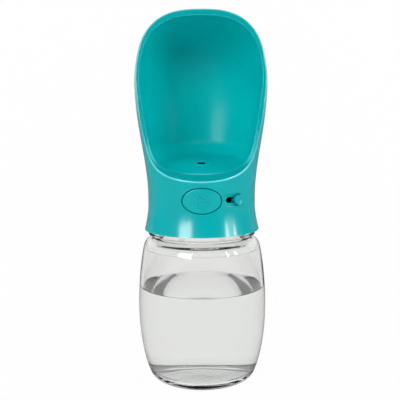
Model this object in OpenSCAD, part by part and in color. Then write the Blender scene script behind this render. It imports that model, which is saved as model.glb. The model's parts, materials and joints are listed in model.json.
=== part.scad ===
// Travel water bottle for dogs: a clear bottle, a one-piece collar and drinking
// scoop that screws on to its neck, and a push-button valve between the two.
// Millimetres, +Z up, the front of the scoop faces -Y.
// The origin is the centre of the bottle's foot.

/* [Bottle] */
// How far the sides of the bottle stand in from the scoop's
bottle_in = 1; // [0:0.1:1.6]
// Height of the widest point above the foot
belly_z = 39; // [32:1:44]
// Radius where the foot ring stands
foot_r = 24.5; // [23.5:0.5:26]
// Radius of the heel, just above the foot
heel_r = 29.3; // [28.5:0.1:31]
// Height of the heel
heel_z = 3; // [2.5:0.1:4]
// Width of the shoulder, from the neck out to the side
shoulder_w = 6.2; // [5.4:0.1:8]
// Height where the side turns in to the shoulder
shoulder_z = 72; // [68:1:78]
// Height of the rounded shoulder
shoulder_h = 5.8; // [5:0.1:8]
// Wall of the bottle
bottle_wall = 2; // [1.6:0.1:2.4]
// Thickness of the bottle's floor
bottle_floor_t = 2.4; // [2:0.1:3.5]
// How far the underside is pushed up at its centre
base_rise = 2.5; // [1:0.1:3.5]

/* [Neck] */
// Room for the thread between the neck and the collar
thread_room = 1.5; // [1.3:0.1:2]
// Wall of the neck
neck_wall = 2; // [1.8:0.1:2.2]
// Bare neck between the shoulder and the flange
flange_gap = 1.5; // [1:0.1:3]
// How far the flange under the collar stands out from the neck
flange_w = 3.3; // [2.2:0.1:4.5]
// Thickness of the flange
flange_t = 2.5; // [2:0.1:3.5]
// Height of the neck above the flange
neck_h = 7.8; // [7.4:0.1:9]
// Broken edge of the flange and the neck's mouth
neck_edge = 0.5; // [0.3:0.1:0.7]

/* [Collar] */
// Gap between the flange and the collar's lower edge
skirt_gap = 0.2; // [0.1:0.1:0.6]
// Outside radius at the waist of the collar
waist_r = 29; // [28:0.1:31]
// Wall of the collar round the threaded socket
collar_wall = 1.7; // [1.5:0.1:2]
// Wall of the collar round the valve chamber
chamber_wall = 2.4; // [2.2:0.1:3]
// How far the lower edge flares out past the waist
skirt_flare = 2.1; // [0.5:0.1:3]
// Height of that flare
flare_h = 13; // [9:0.5:16]

/* [Scoop] */
// Width of the scoop and, but for bottle_in, of the bottle under it
scoop_w = 72; // [68:0.5:76]
// Height of collar and scoop together
head_h = 118; // [112:1:126]
// Height above the collar's lower edge where the scoop starts to widen
swell_up = 18; // [15:1:20]
// Height above the collar's lower edge where it is at its widest
full_up = 75; // [70:1:80]
// Squareness of the crown, 2 is an ellipse
crown = 2.6; // [2.2:0.1:3]
// Depth of the back behind the bottle's axis
back_depth = 32.5; // [31:0.5:34]
// Height above the lower edge where the back starts to close over
back_turn_up = 68; // [60:1:75]
// Wall of the scoop
shell_t = 1.8; // [1.6:0.1:2.2]
// Wall at the very top of the crown
crown_t = 3; // [2:0.1:4]
// Height of the lip above the collar's lower edge
lip_up = 28.3; // [27.8:0.1:30]
// Height of the sloped band that leads over the lip
lip_band_h = 3.3; // [2.8:0.1:3.8]
// Depth of that band from front to back
lip_band_t = 4; // [3.5:0.1:4.4]
// How far the rim stands in front of the axis along the sides
rim_front = 13; // [11:0.5:15]
// How fast the rim's outer edge sweeps back above the lip
rim_sweep = 7; // [6:0.1:8]
// How fast the rim's inner edge sweeps back
rim_sweep_in = 4.6; // [4:0.1:5.5]
// How far the rim leans back on its way to the crown
rim_lean = 3; // [0:0.5:5]
// Height of the water outlet above the collar's lower edge
outlet_up = 35.4; // [35:0.1:36.5]
// Slope of the scoop's floor up to the outlet and beyond
floor_slope = 10; // [8:0.5:10]
// Radius between floor and wall
bowl_fillet = 8; // [5:0.5:10]

/* [Push button] */
// Height of the button's centre above the collar's lower edge
button_up = 18.3; // [18:0.1:18.6]
// Width of the button
button_w = 20.6; // [19:0.1:21]
// Height of the button
button_h = 12.8; // [11.5:0.1:13]
// Gap all round the button
button_gap = 0.3; // [0.2:0.05:0.4]
// How proud of the collar the button's face stands
button_proud = 0.3; // [0:0.1:0.8]
// Wall of the hollow button cap
button_wall = 1.4; // [1.2:0.1:1.8]
// Depth of the cap behind the waist radius
button_depth = 4.4; // [4:0.1:5]
// Travel of the button
press = 4; // [3.4:0.1:4]

/* [Valve] */
// Bore of the valve barrel
bore_r = 3.6; // [3.4:0.05:3.8]
// Wall of the valve barrel
barrel_wall = 1.6; // [1.4:0.1:1.8]
// Length of the barrel in front of the axis
barrel_front = 15; // [14.5:0.1:15.5]
// Length of the barrel behind the axis
barrel_rear = 12.5; // [12:0.1:13.5]
// Radius of the inlet and outlet ports
port_r = 1.4; // [1:0.1:1.5]
// Outside radius of the riser that ends in the scoop's floor
riser_r = 4.1; // [4:0.1:4.3]
// Radius of the outlet hole in the top of the riser
outlet_r = 2.3; // [1.8:0.1:2.5]
// Radius of the riser's shoulder
riser_flange_r = 6.2; // [6:0.1:6.4]
// Thickness of the riser's shoulder and its ears
ear_t = 1.4; // [1.2:0.1:1.8]
// Distance of the two barrel screws from the axis
ear_x = 10.5; // [10:0.1:12]
// Outside radius of the inlet spigot
spigot_r = 3.1; // [2.8:0.1:3.2]
// Radius of the waist that lets the water past the stem
stem_waist_r = 1.9; // [1.6:0.1:2.2]
// Radius of the stem in front of and behind its lands
stem_rod_r = 2; // [1.8:0.1:2.3]

/* [Inner cover] */
// Thickness of the cover plate
cover_t = 1.4; // [1.2:0.1:1.8]
// Gap between the heads of the cover screws and the rib
cover_head_gap = 0.8; // [0.3:0.1:1.2]
// Length of the rib that centres the cover in the neck
cover_rib_h = 2.8; // [2:0.1:3.5]

/* [Seals] */
// Thickness of the neck gasket
gasket_t = 1.6; // [1.4:0.1:2]
// Thickness of the flat seals on the riser and the inlet
washer_t = 1.2; // [1:0.1:1.4]
// Half the thickness of the stem's o-rings
cord_r = 0.6; // [0.5:0.05:0.65]
// Clearance between the o-rings and the bore
slide_gap = 0.03; // [0.02:0.01:0.06]

/* [Return spring] */
// Radius of the spring wire
wire_r = 0.3; // [0.25:0.05:0.35]
// Turns of the spring
turns = 6; // [5:1:7]

/* [Lock] */
// Angle of the lock knob from the front, at rest
lock_a = 39.3; // [38:0.1:41]
// Angle that the knob slides towards the button
lock_travel = 10.8; // [9.5:0.1:11]
// Radius of the knob
knob_r = 2.6; // [2.2:0.1:2.8]
// How proud of the collar the knob stands
knob_proud = 1.7; // [1:0.1:2.2]
// Depth of the knob's track in the collar
track_depth = 0.9; // [0.6:0.1:1]
// Clearance round the knob in its track
track_gap = 0.5; // [0.3:0.1:0.6]
// Radius of the lock's shank
shank_r = 1.3; // [1.1:0.1:1.4]
// Thickness of the plate inside the collar
lock_plate_t = 1.4; // [1:0.1:1.6]

/* [Screws] */
// Radius of the screw heads
screw_head_r = 2; // [1.8:0.1:2.2]
// Thickness of the screw heads
screw_head_t = 1.2; // [1:0.1:1.4]
// Radius of the screw shanks
screw_r = 1; // [0.8:0.05:1.1]
// Radius of the moulded screw posts
post_r = 2.6; // [2.4:0.1:2.8]
// Length of the cover screws in their posts
screw_grip = 6; // [4:0.5:8]
// Length of the barrel screws in their posts
barrel_grip = 3; // [2:0.1:3.2]

/* [Strap eyelet] */
// Radius of the hole for a carrying strap
eyelet_r = 1.7; // [1.5:0.1:1.8]
// Distance of that hole behind the collar's waist
eyelet_out = 2.5; // [2.3:0.1:2.7]
// Wall round the hole
eyelet_wall = 1.6; // [1.4:0.1:1.7]
// Width of the eyelet
eyelet_w = 9; // [7:0.5:12]
// Height of the eyelet above the collar's lower edge
eyelet_up = 16; // [15:0.5:18]

/* [Hidden] */
$fn = 96;
eps = 0.01;

teal = [0, 0.69, 0.71];
pale = [0.86, 0.88, 0.87];
silicone = [0.93, 0.93, 0.9];
steel = [0.75, 0.76, 0.78];

// The bottle is as wide as the scoop, but for bottle_in
bottle_r = scoop_w / 2 - bottle_in;

// Radii that follow the collar's waist, from the outside in
socket_r = waist_r - collar_wall;
chamber_r = waist_r - chamber_wall;
neck_r = socket_r - thread_room;
flange_r = neck_r + flange_w;
shoulder_r = neck_r + shoulder_w;
eyelet_y = waist_r + eyelet_out;

// Heights, from the foot upwards
body_top = shoulder_z + shoulder_h;
flange_z = body_top + flange_gap;
skirt_z = flange_z + flange_t + skirt_gap;
neck_top = flange_z + flange_t + neck_h;
cover_z = neck_top + gasket_t;
chamber_z = cover_z + cover_t;
button_z = skirt_z + button_up;
lip_z = skirt_z + lip_up;
head_top = skirt_z + head_h;
outlet_z = skirt_z + outlet_up;

// Collar and scoop
flare_top = skirt_z + flare_h;
swell_z = skirt_z + swell_up;
full_z = skirt_z + full_up;
crown_z = full_z + 2;
back_turn_z = skirt_z + back_turn_up;
lip_in_z = lip_z + lip_band_h;
lip_blend_h = 27;
lean_from = 20;
rim_widest_from = 68;
rim_widest_h = 25;
back_crown = 2.4;
floor_t = 2;

// Valve
barrel_r = bore_r + barrel_wall;
cap_back = waist_r - button_depth;
stem_start = waist_r - 1.8;
riser_top_h = 3.8;
washer_top = outlet_z - riser_top_h;
seat_rim = 1.4;
riser_shoulder_z = washer_top - washer_t;
ear_z = riser_shoulder_z - ear_t;
riser_gap = 0.15;
riser_sunk = 0.1;
ring_r = bore_r - slide_gap - cord_r;
groove_r = ring_r - cord_r - 0.02;
groove_w = 2 * cord_r + 0.2;
land_r = bore_r - 0.15;
ring_front_y = -barrel_front + 3;
land_front_y = -barrel_front + 0.4;
land_front_end = ring_front_y + groove_w / 2 + 1.6;
ring_middle_y = -port_r - groove_w / 2 - 0.5;
ring_rear_y = port_r + groove_w / 2 + 0.9;
land_rear_start = ring_middle_y - groove_w / 2 - 0.6;
land_rear_end = ring_rear_y + groove_w / 2 + 0.9;
clip_gap = 0.05;
clip_t = 0.8;
clip_y = barrel_rear + clip_gap;
tail_end = clip_y + clip_t + 1.6;
inlet_boss_r = spigot_r + 1.9;
inlet_boss_top = button_z - barrel_r - 0.3;
inlet_boss_low = cover_z - 1;
inlet_seat_z = inlet_boss_low + 1.2;
fit_gap = 0.2;

// Seals and screws
gasket_in = neck_r - neck_wall + 0.1;
gasket_out = socket_r - 0.3;
rib_out = neck_r - neck_wall - 0.4;
rib_t = 0.8;
cover_screw_r = rib_out - rib_t - cover_head_gap - screw_head_r;
pilot_r = screw_r + 0.05;
pilot_spare = 0.3;
cover_screw_angles = [70, 135, 225, 290];
spring_r = bore_r + 0.5 + wire_r;
spring_ring_sides = 8;
spring_steps = 12;

// Lock
track_floor_r = waist_r - track_depth;
track_r = knob_r + track_gap;
slot_r = shank_r + 0.2;
plate_out = chamber_r - 0.2;
plate_in = plate_out - lock_plate_t;
plate_half_h = 2.8;
plate_from = lock_a - 2.9;
plate_to = lock_a + 8;
tongue_out = cap_back - press - 0.4;
tongue_in = tongue_out - 1.3;
tongue_from = lock_a - 12.3;
tongue_to = plate_from + 5;
web_from = plate_from + 2.2;

// Lines round the head and rows along it
head_lines = 72;
half_lines = head_lines / 2;
skirt_rows = 4;
outer_rows = 20;
wall_rows = 12;
fillet_rows = 3;
floor_rows = 2;

function smooth(t) = t <= 0 ? 0 : t >= 1 ? 1 : t * t * (3 - 2 * t);
function clamp1(t) = max(-1, min(1, t));

// Quarter of a superellipse: 1 at t = 0 and 0 at t = 1
function dome(t, power) = t <= 0 ? 1 : t >= 1 ? 0 : pow(1 - pow(t, power), 1 / power);

function bezier(p, steps) = [
    for (i = [0:steps])
        let (t = i / steps, u = 1 - t)
        u * u * u * p[0] + 3 * t * u * u * p[1] + 3 * t * t * u * p[2] + t * t * t * p[3]
];

// ---- Bottle: outline from the foot up, then back down the inside ----

function bottle_side(inset, lift) = concat(
    bezier([
        [heel_r - inset, heel_z + lift], [heel_r - inset + 3.1, heel_z + 7 + lift],
        [bottle_r - inset, belly_z - 15], [bottle_r - inset, belly_z]
    ], 9),
    bezier([
        [bottle_r - inset, belly_z], [bottle_r - inset, belly_z + 13],
        [shoulder_r + 1.6 - inset, shoulder_z - 8], [shoulder_r - inset, shoulder_z]
    ], 8)
);

function bottle_outside() = concat(
    bezier([[0, base_rise], [10, base_rise], [foot_r - 7, base_rise * 0.7], [foot_r - 3, 0]], 6),
    bezier([[foot_r, 0], [heel_r - 1.8, 0], [heel_r - 0.7, heel_z * 0.4], [heel_r, heel_z]], 5),
    bottle_side(0, 0),
    bezier([
        [shoulder_r, shoulder_z], [shoulder_r - 0.6, shoulder_z + shoulder_h * 0.6],
        [shoulder_r - 2.4, body_top - 0.5], [neck_r + 1.2, body_top - 0.3]
    ], 6),
    [
        [neck_r, body_top + 0.5],
        [neck_r, flange_z],
        [flange_r - neck_edge, flange_z],
        [flange_r, flange_z + neck_edge],
        [flange_r, flange_z + flange_t - neck_edge],
        [flange_r - neck_edge, flange_z + flange_t],
        [neck_r, flange_z + flange_t],
        [neck_r, neck_top - neck_edge],
        [neck_r - neck_edge, neck_top]
    ]
);

function reversed(list) = [for (i = [len(list) - 1:-1:0]) list[i]];

function bottle_inside() = concat(
    [
        [neck_r - neck_wall, neck_top],
        [neck_r - neck_wall, body_top]
    ],
    reversed(bezier([
        [shoulder_r - bottle_wall, shoulder_z - 0.6],
        [shoulder_r - bottle_wall - 0.6, shoulder_z + shoulder_h * 0.4],
        [shoulder_r - bottle_wall - 2.8, body_top - 2.4],
        [neck_r - neck_wall + 0.7, body_top - 1.8]
    ], 6)),
    reversed(bottle_side(bottle_wall, bottle_floor_t)),
    reversed(bezier([
        [0, base_rise + bottle_floor_t], [10, base_rise + bottle_floor_t],
        [foot_r - 3, bottle_floor_t + 0.4],
        [heel_r - bottle_wall - 2, heel_z + bottle_floor_t - 1.6]
    ], 6))
);

module bottle() {
    color([0.85, 0.9, 0.92, 0.35])
        rotate_extrude()
            polygon(concat(bottle_outside(), bottle_inside()));
}

// ---- Collar and scoop: level sections, each with a front and a back half ----

function half_width(z, inset, top) =
    z < flare_top
        ? waist_r - inset + skirt_flare * pow((flare_top - z) / flare_h, 1.5)
        : z < crown_z
            ? waist_r - inset + (scoop_w / 2 - waist_r) * smooth((z - swell_z) / (full_z - swell_z))
            : (scoop_w / 2 - inset) * dome((z - crown_z) / (top - crown_z), crown);

function back_y(z, inset, top) =
    z < flare_top
        ? half_width(z, inset, top)
        : z < back_turn_z
            ? waist_r - inset + (back_depth - waist_r) * smooth((z - swell_z) / (back_turn_z - swell_z))
            : rim_tip_y + (back_depth - inset - rim_tip_y)
                * dome((z - back_turn_z) / (top - back_turn_z), back_crown);

rim_tip_y = rim_lean - rim_front;

function lean(z) = rim_lean * smooth((z - lip_z - lean_from) / (head_top - lip_z - lean_from));

function front_r(z) = half_width(z, 0, head_top);
function front_in_r(z) =
    half_width(z, 0, head_top)
    - lip_band_t + (lip_band_t - shell_t) * smooth((z - lip_in_z) / lip_blend_h);

function rim_y(z) =
    lean(z) - rim_front - (front_r(lip_z) - rim_front) * exp((lip_z - z) / rim_sweep);
function rim_in_y(z) =
    lean(z) - rim_front - (front_in_r(lip_in_z) - rim_front) * exp((lip_in_z - z) / rim_sweep_in);

// The section's centre moves forward to the rim below the crown
function centre_y(z) = rim_y(z) * smooth((z - skirt_z - rim_widest_from) / rim_widest_h);

function section_point(z, a, wide, front, back) = [
    wide * sin(a),
    centre_y(z) - cos(a) * (cos(a) > 0 ? front : back - centre_y(z)),
    z
];

function outer_point(z, a) =
    section_point(z, a, half_width(z, 0, head_top), front_r(z), back_y(z, 0, head_top));

crown_in = head_top - crown_t;
function inner_point(z, a) =
    section_point(z, a, half_width(z, shell_t, crown_in), front_in_r(z), back_y(z, shell_t, crown_in));

// Lines run up the head from the collar's lower edge to the rim. Line s starts at
// the angle 180 * s, so 0 is the middle of the lip and 1 the middle of the crown.
// Near the lip the lines go straight up, and higher they lean towards the crown.
function outer_rim_angle(z) = acos(clamp1((centre_y(z) - rim_y(z)) / max(eps, front_r(z))));
function inner_rim_angle(z) = acos(clamp1((centre_y(z) - rim_in_y(z)) / max(eps, front_in_r(z))));

function crown_pull(t) = 0.5 * (1 - sqrt(max(0, 1 - t * t)));
function outer_line(z) =
    z <= lip_z ? 0 : outer_rim_angle(z) / 180 + crown_pull((z - lip_z) / (head_top - lip_z));
function inner_line(z) =
    z <= lip_in_z ? 0 : inner_rim_angle(z) / 180 + crown_pull((z - lip_in_z) / (crown_in - lip_in_z));

// Height at which line s meets the rim, found by halving
function outer_rim_z(s, low = lip_z, top = head_top, steps = 26) =
    steps == 0 ? (low + top) / 2
    : outer_line((low + top) / 2) < s ? outer_rim_z(s, (low + top) / 2, top, steps - 1)
    : outer_rim_z(s, low, (low + top) / 2, steps - 1);
function inner_rim_z(s, low = lip_in_z, top = crown_in, steps = 26) =
    steps == 0 ? (low + top) / 2
    : inner_line((low + top) / 2) < s ? inner_rim_z(s, (low + top) / 2, top, steps - 1)
    : inner_rim_z(s, low, (low + top) / 2, steps - 1);

function spread(s, from_s, from_a) =
    from_s > 0.9999 || s > 0.9999 ? 180 : from_a + (180 - from_a) * max(0, s - from_s) / (1 - from_s);
function outer_angle(s, z) = z <= lip_z ? 180 * s : spread(s, outer_line(z), outer_rim_angle(z));
function inner_angle(s, z) = z <= lip_in_z ? 180 * s : spread(s, inner_line(z), inner_rim_angle(z));

function floor_z(y) = outlet_z + tan(floor_slope) * y;

function outer_at(s, row, top) =
    let (
        z = row <= skirt_rows
            ? skirt_z + flare_h * row / skirt_rows
            : flare_top + (top - flare_top) * sin(90 * (row - skirt_rows) / outer_rows)
    )
    outer_point(z, outer_angle(s, z));

function wall_at(s, row, top, foot) =
    let (z = top + (foot - top) * (1 - cos(90 * row / wall_rows)))
    inner_point(z, inner_angle(s, z));

function floor_point(xy, share) =
    [xy[0] * share, xy[1] * share, floor_z(xy[1] * share)];

function fillet_at(foot, r, turn) =
    let (p = floor_point(foot, 1 - r * (1 - cos(turn)) / norm([foot[0], foot[1]])))
    [p[0], p[1], p[2] + r * (1 - sin(turn))];

function floor_at(start, share) =
    floor_point(start, 1 + (riser_flange_r / norm([start[0], start[1]]) - 1) * share);

// All the points of line s, from the collar's lower edge to the outlet
function head_line(s) =
    let (
        top = outer_rim_z(s),
        top_in = inner_rim_z(s),
        rim = inner_point(top_in, inner_angle(s, top_in)),
        r = min(bowl_fillet, 0.9 * (rim[2] - floor_z(rim[1]))),
        near_z = floor_z(inner_point(outlet_z, 180 * s)[1]) + r,
        foot_z = floor_z(inner_point(near_z, inner_angle(s, near_z))[1]) + r,
        foot_in = min(foot_z, top_in - 0.05),
        foot = wall_at(s, wall_rows, top_in, foot_in),
        start = fillet_at(foot, r, 90)
    )
    concat(
        [for (row = [0:skirt_rows + outer_rows]) outer_at(s, row, top)],
        [for (row = [0:wall_rows]) wall_at(s, row, top_in, foot_in)],
        [for (row = [1:fillet_rows]) fillet_at(foot, r, 90 * row / fillet_rows)],
        [for (row = [1:floor_rows]) floor_at(start, row / floor_rows)]
    );

// One half of the lines is worked out, and the other half is its mirror image
module head_blank() {
    half = [for (i = [0:half_lines]) head_line(i / half_lines)];
    last_row = len(half[0]) - 1;
    ring_points = [
        for (row = [0:last_row], i = [0:head_lines - 1])
            i == 0 || i == half_lines ? [0, half[i][row][1], half[i][row][2]]
            : i < half_lines ? half[i][row]
            : [-half[head_lines - i][row][0], half[head_lines - i][row][1], half[head_lines - i][row][2]]
    ];
    base_centre = len(ring_points);
    floor_centre = base_centre + 1;
    all_points = concat(ring_points, [[0, 0, skirt_z], [0, 0, floor_z(0)]]);
    top_row = last_row * head_lines;
    all_faces = concat(
        [
            for (row = [0:last_row - 1], i = [0:head_lines - 1], half_quad = [0, 1])
                let (
                    j = (i + 1) % head_lines,
                    a = row * head_lines + i,
                    b = row * head_lines + j,
                    c = a + head_lines,
                    d = b + head_lines
                )
                half_quad == 0 ? [a, c, d] : [a, d, b]
        ],
        [for (i = [0:head_lines - 1]) [base_centre, i, (i + 1) % head_lines]],
        [for (i = [0:head_lines - 1]) [floor_centre, top_row + (i + 1) % head_lines, top_row + i]]
    );
    polyhedron(points = all_points, faces = all_faces, convexity = 6);
}

module radial(angle) {
    rotate([0, 0, angle])
        rotate([90, 0, 0])
            children();
}

// A slot along the collar's wall, from one angle to the other, with round ends
module wall_slot(from_a, to_a, half_h, r_in, r_out) {
    translate([0, 0, button_z - half_h])
        rotate([0, 0, from_a - 90])
            rotate_extrude(angle = to_a - from_a)
                translate([r_in, 0])
                    square([r_out - r_in, 2 * half_h]);
    for (a = [from_a, to_a])
        translate([0, 0, button_z])
            radial(a)
                translate([0, 0, r_in])
                    cylinder(r = half_h, h = r_out - r_in);
}

module oval(grow, length) {
    scale([(button_w / 2 + grow) / 10, 1, (button_h / 2 + grow) / 10])
        rotate([90, 0, 0])
            cylinder(r = 10, h = length);
}

module screw_posts(low) {
    for (a = cover_screw_angles)
        rotate([0, 0, a - 90])
            translate([cover_screw_r, 0, low])
                cylinder(r = post_r, h = head_h);
}

module barrel_posts(low) {
    for (x = [-ear_x, ear_x])
        translate([x, 0, low])
            cylinder(r = post_r, h = head_h);
}

// The space over the inner cover, with its posts left standing
module valve_chamber() {
    ceiling = outlet_z - floor_t;
    difference() {
        translate([0, 0, chamber_z - eps])
            cylinder(r = chamber_r, h = head_h);
        translate([0, 0, ceiling])
            rotate([floor_slope, 0, 0])
                translate([-scoop_w, -scoop_w, 0])
                    cube([2 * scoop_w, 2 * scoop_w, head_h]);
        screw_posts(chamber_z - 2 * eps);
        barrel_posts(riser_shoulder_z);
        translate([0, 0, washer_top])
            cylinder(r = riser_flange_r + seat_rim, h = head_h);
    }
}

module strap_lug() {
    r = eyelet_r + eyelet_wall;
    translate([-eyelet_w / 2, eyelet_y, skirt_z + eyelet_up])
        rotate([0, 90, 0])
            cylinder(r = r, h = eyelet_w);
    translate([-eyelet_w / 2, waist_r - 1.2, skirt_z + eyelet_up - r])
        cube([eyelet_w, eyelet_y - waist_r + 1.2, 2 * r]);
}

module head_shell() {
    color(teal)
        difference() {
            union() {
                head_blank();
                strap_lug();
            }
            translate([0, 0, skirt_z - 1])
                cylinder(r = socket_r, h = chamber_z - skirt_z + 1);
            valve_chamber();
            translate([0, 0, outlet_z - head_h / 2])
                cylinder(r = riser_r + riser_gap, h = head_h);
            translate([0, -chamber_r / 2, button_z])
                oval(button_gap, waist_r);
            wall_slot(lock_a - lock_travel, lock_a, track_r, track_floor_r, waist_r + 2);
            wall_slot(lock_a - lock_travel, lock_a, slot_r, chamber_r - 2, waist_r);
            for (a = cover_screw_angles)
                rotate([0, 0, a - 90])
                    translate([cover_screw_r, 0, chamber_z - 1])
                        cylinder(r = pilot_r, h = screw_grip + 1 + pilot_spare, $fn = 32);
            for (x = [-ear_x, ear_x])
                translate([x, 0, riser_shoulder_z - 1])
                    cylinder(r = pilot_r, h = barrel_grip + 1 + pilot_spare, $fn = 32);
            translate([-eyelet_w, eyelet_y, skirt_z + eyelet_up])
                rotate([0, 90, 0])
                    cylinder(r = eyelet_r, h = 2 * eyelet_w);
        }
}

// ---- Seals and the inner cover ----

module neck_seal() {
    color(silicone)
        rotate_extrude()
            translate([gasket_in, neck_top])
                square([gasket_out - gasket_in, gasket_t]);
}

module inner_cover() {
    color(pale)
        difference() {
            union() {
                translate([0, 0, cover_z])
                    cylinder(r = gasket_out, h = cover_t);
                translate([0, 0, cover_z - cover_rib_h])
                    cylinder(r = rib_out, h = cover_rib_h + eps);
                translate([0, 0, inlet_boss_low])
                    cylinder(r = inlet_boss_r, h = inlet_boss_top - inlet_boss_low);
            }
            difference() {
                translate([0, 0, cover_z - cover_rib_h - 1])
                    cylinder(r = rib_out - rib_t, h = cover_rib_h + 1);
                translate([0, 0, inlet_boss_low])
                    cylinder(r = inlet_boss_r, h = 10);
            }
            translate([0, 0, inlet_seat_z])
                cylinder(r = spigot_r + fit_gap, h = 10);
            translate([0, 0, inlet_boss_low - 1])
                cylinder(r = port_r, h = 4);
            for (a = cover_screw_angles)
                rotate([0, 0, a - 90])
                    translate([cover_screw_r, 0, cover_z - 1])
                        cylinder(r = screw_r + fit_gap, h = cover_t + 2, $fn = 32);
        }
}

module screw(grip) {
    translate([0, 0, -screw_head_t])
        difference() {
            cylinder(r = screw_head_r, h = screw_head_t, $fn = 32);
            for (turn = [0, 90])
                rotate([0, 0, turn])
                    translate([-screw_r, -0.25, -eps])
                        cube([2 * screw_r, 0.5, screw_head_t / 2]);
        }
    cylinder(r = screw_r, h = grip, $fn = 32);
}

module cover_screws() {
    color(steel)
        for (a = cover_screw_angles)
            rotate([0, 0, a - 90])
                translate([cover_screw_r, 0, cover_z])
                    screw(cover_t + screw_grip);
}

module flat_ring(r_in, r_out, z, t) {
    translate([0, 0, z])
        difference() {
            cylinder(r = r_out, h = t);
            translate([0, 0, -1])
                cylinder(r = r_in, h = t + 2);
        }
}

module inlet_seal() {
    color(silicone)
        flat_ring(port_r + 0.1, spigot_r + fit_gap - 0.05, inlet_seat_z, washer_t);
}

module outlet_seal() {
    color(silicone)
        flat_ring(riser_r + 0.05, riser_flange_r - 0.3, riser_shoulder_z, washer_t);
}

// ---- Valve barrel with its inlet spigot below and its riser above ----

module along_y(from_y) {
    translate([0, from_y, button_z])
        rotate([-90, 0, 0])
            children();
}

module valve_barrel() {
    spigot_low = inlet_seat_z + washer_t;
    color(pale)
        difference() {
            union() {
                along_y(-barrel_front)
                    cylinder(r = barrel_r, h = barrel_front + barrel_rear);
                translate([0, 0, spigot_low])
                    cylinder(r = spigot_r, h = button_z - spigot_low);
                translate([0, 0, button_z])
                    cylinder(r = riser_r, h = outlet_z - button_z + 1);
                translate([0, 0, ear_z])
                    cylinder(r = riser_flange_r, h = ear_t);
                translate([-ear_x, -post_r, ear_z])
                    cube([2 * ear_x, 2 * post_r, ear_t]);
                for (x = [-ear_x, ear_x])
                    translate([x, 0, ear_z])
                        cylinder(r = post_r, h = ear_t);
            }
            along_y(-barrel_front - 1)
                cylinder(r = bore_r, h = barrel_front + barrel_rear + 2);
            translate([0, 0, spigot_low - 1])
                cylinder(r = port_r, h = button_z - spigot_low + 1);
            translate([0, 0, button_z])
                cylinder(r = port_r, h = ear_z - button_z + eps);
            translate([0, 0, ear_z])
                cylinder(r = outlet_r, h = head_h);
            for (x = [-ear_x, ear_x])
                translate([x, 0, ear_z - 1])
                    cylinder(r = screw_r + fit_gap, h = ear_t + 2, $fn = 32);
            translate([0, 0, outlet_z - riser_sunk])
                rotate([floor_slope, 0, 0])
                    translate([-2 * riser_r, -2 * riser_r, 0])
                        cube(4 * riser_r);
        }
}

module barrel_screws() {
    color(steel)
        for (x = [-ear_x, ear_x])
            translate([x, 0, ear_z])
                screw(ear_t + barrel_grip);
}

// ---- Button, stem, o-rings, clip and spring ----

// The button's oval up to a face that is rounded as the collar is
module button_block(grow, back_y, face_r) {
    intersection() {
        translate([0, -back_y, button_z])
            oval(grow, waist_r);
        translate([0, 0, button_z - button_h])
            cylinder(r = face_r, h = 2 * button_h);
    }
}

module button_cap() {
    face_r = waist_r + button_proud;
    color(teal)
        difference() {
            button_block(0, cap_back, face_r);
            difference() {
                button_block(-button_wall, cap_back - 1, face_r - button_wall);
                along_y(-waist_r)
                    cylinder(r = spring_r + wire_r, h = waist_r);
            }
            along_y(-stem_start)
                cylinder(r = stem_rod_r, h = waist_r, $fn = 48);
        }
}

module stem_part(from_y, to_y, r) {
    along_y(from_y)
        cylinder(r = r, h = to_y - from_y);
}

module groove(y) {
    along_y(y - groove_w / 2)
        difference() {
            cylinder(r = bore_r + 1, h = groove_w);
            translate([0, 0, -1])
                cylinder(r = groove_r, h = groove_w + 2);
        }
}

module valve_stem() {
    color(pale)
        difference() {
            union() {
                stem_part(-stem_start, land_front_y + eps, stem_rod_r);
                stem_part(land_front_y, land_front_end, land_r);
                stem_part(land_front_end - eps, land_rear_start + eps, stem_waist_r);
                stem_part(land_rear_start, land_rear_end, land_r);
                stem_part(land_rear_end - eps, tail_end, stem_rod_r);
            }
            groove(ring_front_y);
            groove(ring_middle_y);
            groove(ring_rear_y);
            along_y(clip_y)
                difference() {
                    cylinder(r = bore_r, h = clip_t);
                    translate([0, 0, -1])
                        cylinder(r = stem_rod_r - 0.6, h = clip_t + 2);
                }
        }
}

module o_ring(y) {
    color(silicone)
        along_y(y)
            rotate_extrude()
                translate([ring_r, 0])
                    circle(r = cord_r, $fn = 32);
}

module o_ring_front() { o_ring(ring_front_y); }
module o_ring_middle() { o_ring(ring_middle_y); }
module o_ring_rear() { o_ring(ring_rear_y); }

module stem_clip() {
    neck = stem_rod_r - 0.6;
    color(steel)
        along_y(clip_y)
            difference() {
                cylinder(r = bore_r + 0.8, h = clip_t);
                translate([0, 0, -1])
                    cylinder(r = neck, h = clip_t + 2);
                translate([-neck * 0.8, 0, -1])
                    cube([neck * 1.6, bore_r + 2, clip_t + 2]);
            }
}

module return_spring() {
    from_y = -cap_back + wire_r + 0.05;
    to_y = -barrel_front - wire_r - 0.05;
    rings = turns * spring_steps;
    ring_points = [
        for (i = [0:rings], k = [0:spring_ring_sides - 1])
            let (
                a = 360 * i / spring_steps,
                b = 360 * k / spring_ring_sides,
                r = spring_r + wire_r * cos(b)
            )
            [r * cos(a), from_y + (to_y - from_y) * i / rings + wire_r * sin(b), button_z + r * sin(a)]
    ];
    n = spring_ring_sides;
    side_faces = [
        for (i = [0:rings - 1], k = [0:n - 1], half_quad = [0, 1])
            let (a = i * n + k, b = i * n + (k + 1) % n, c = a + n, d = b + n)
            half_quad == 0 ? [a, b, d] : [a, d, c]
    ];
    start_face = [[for (k = [n - 1:-1:0]) k]];
    end_face = [[for (k = [0:n - 1]) rings * n + k]];
    color(steel)
        polyhedron(points = ring_points, faces = concat(side_faces, start_face, end_face), convexity = 8);
}

// ---- Lock: a plate inside the collar with a tongue, and its knob outside ----

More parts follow.
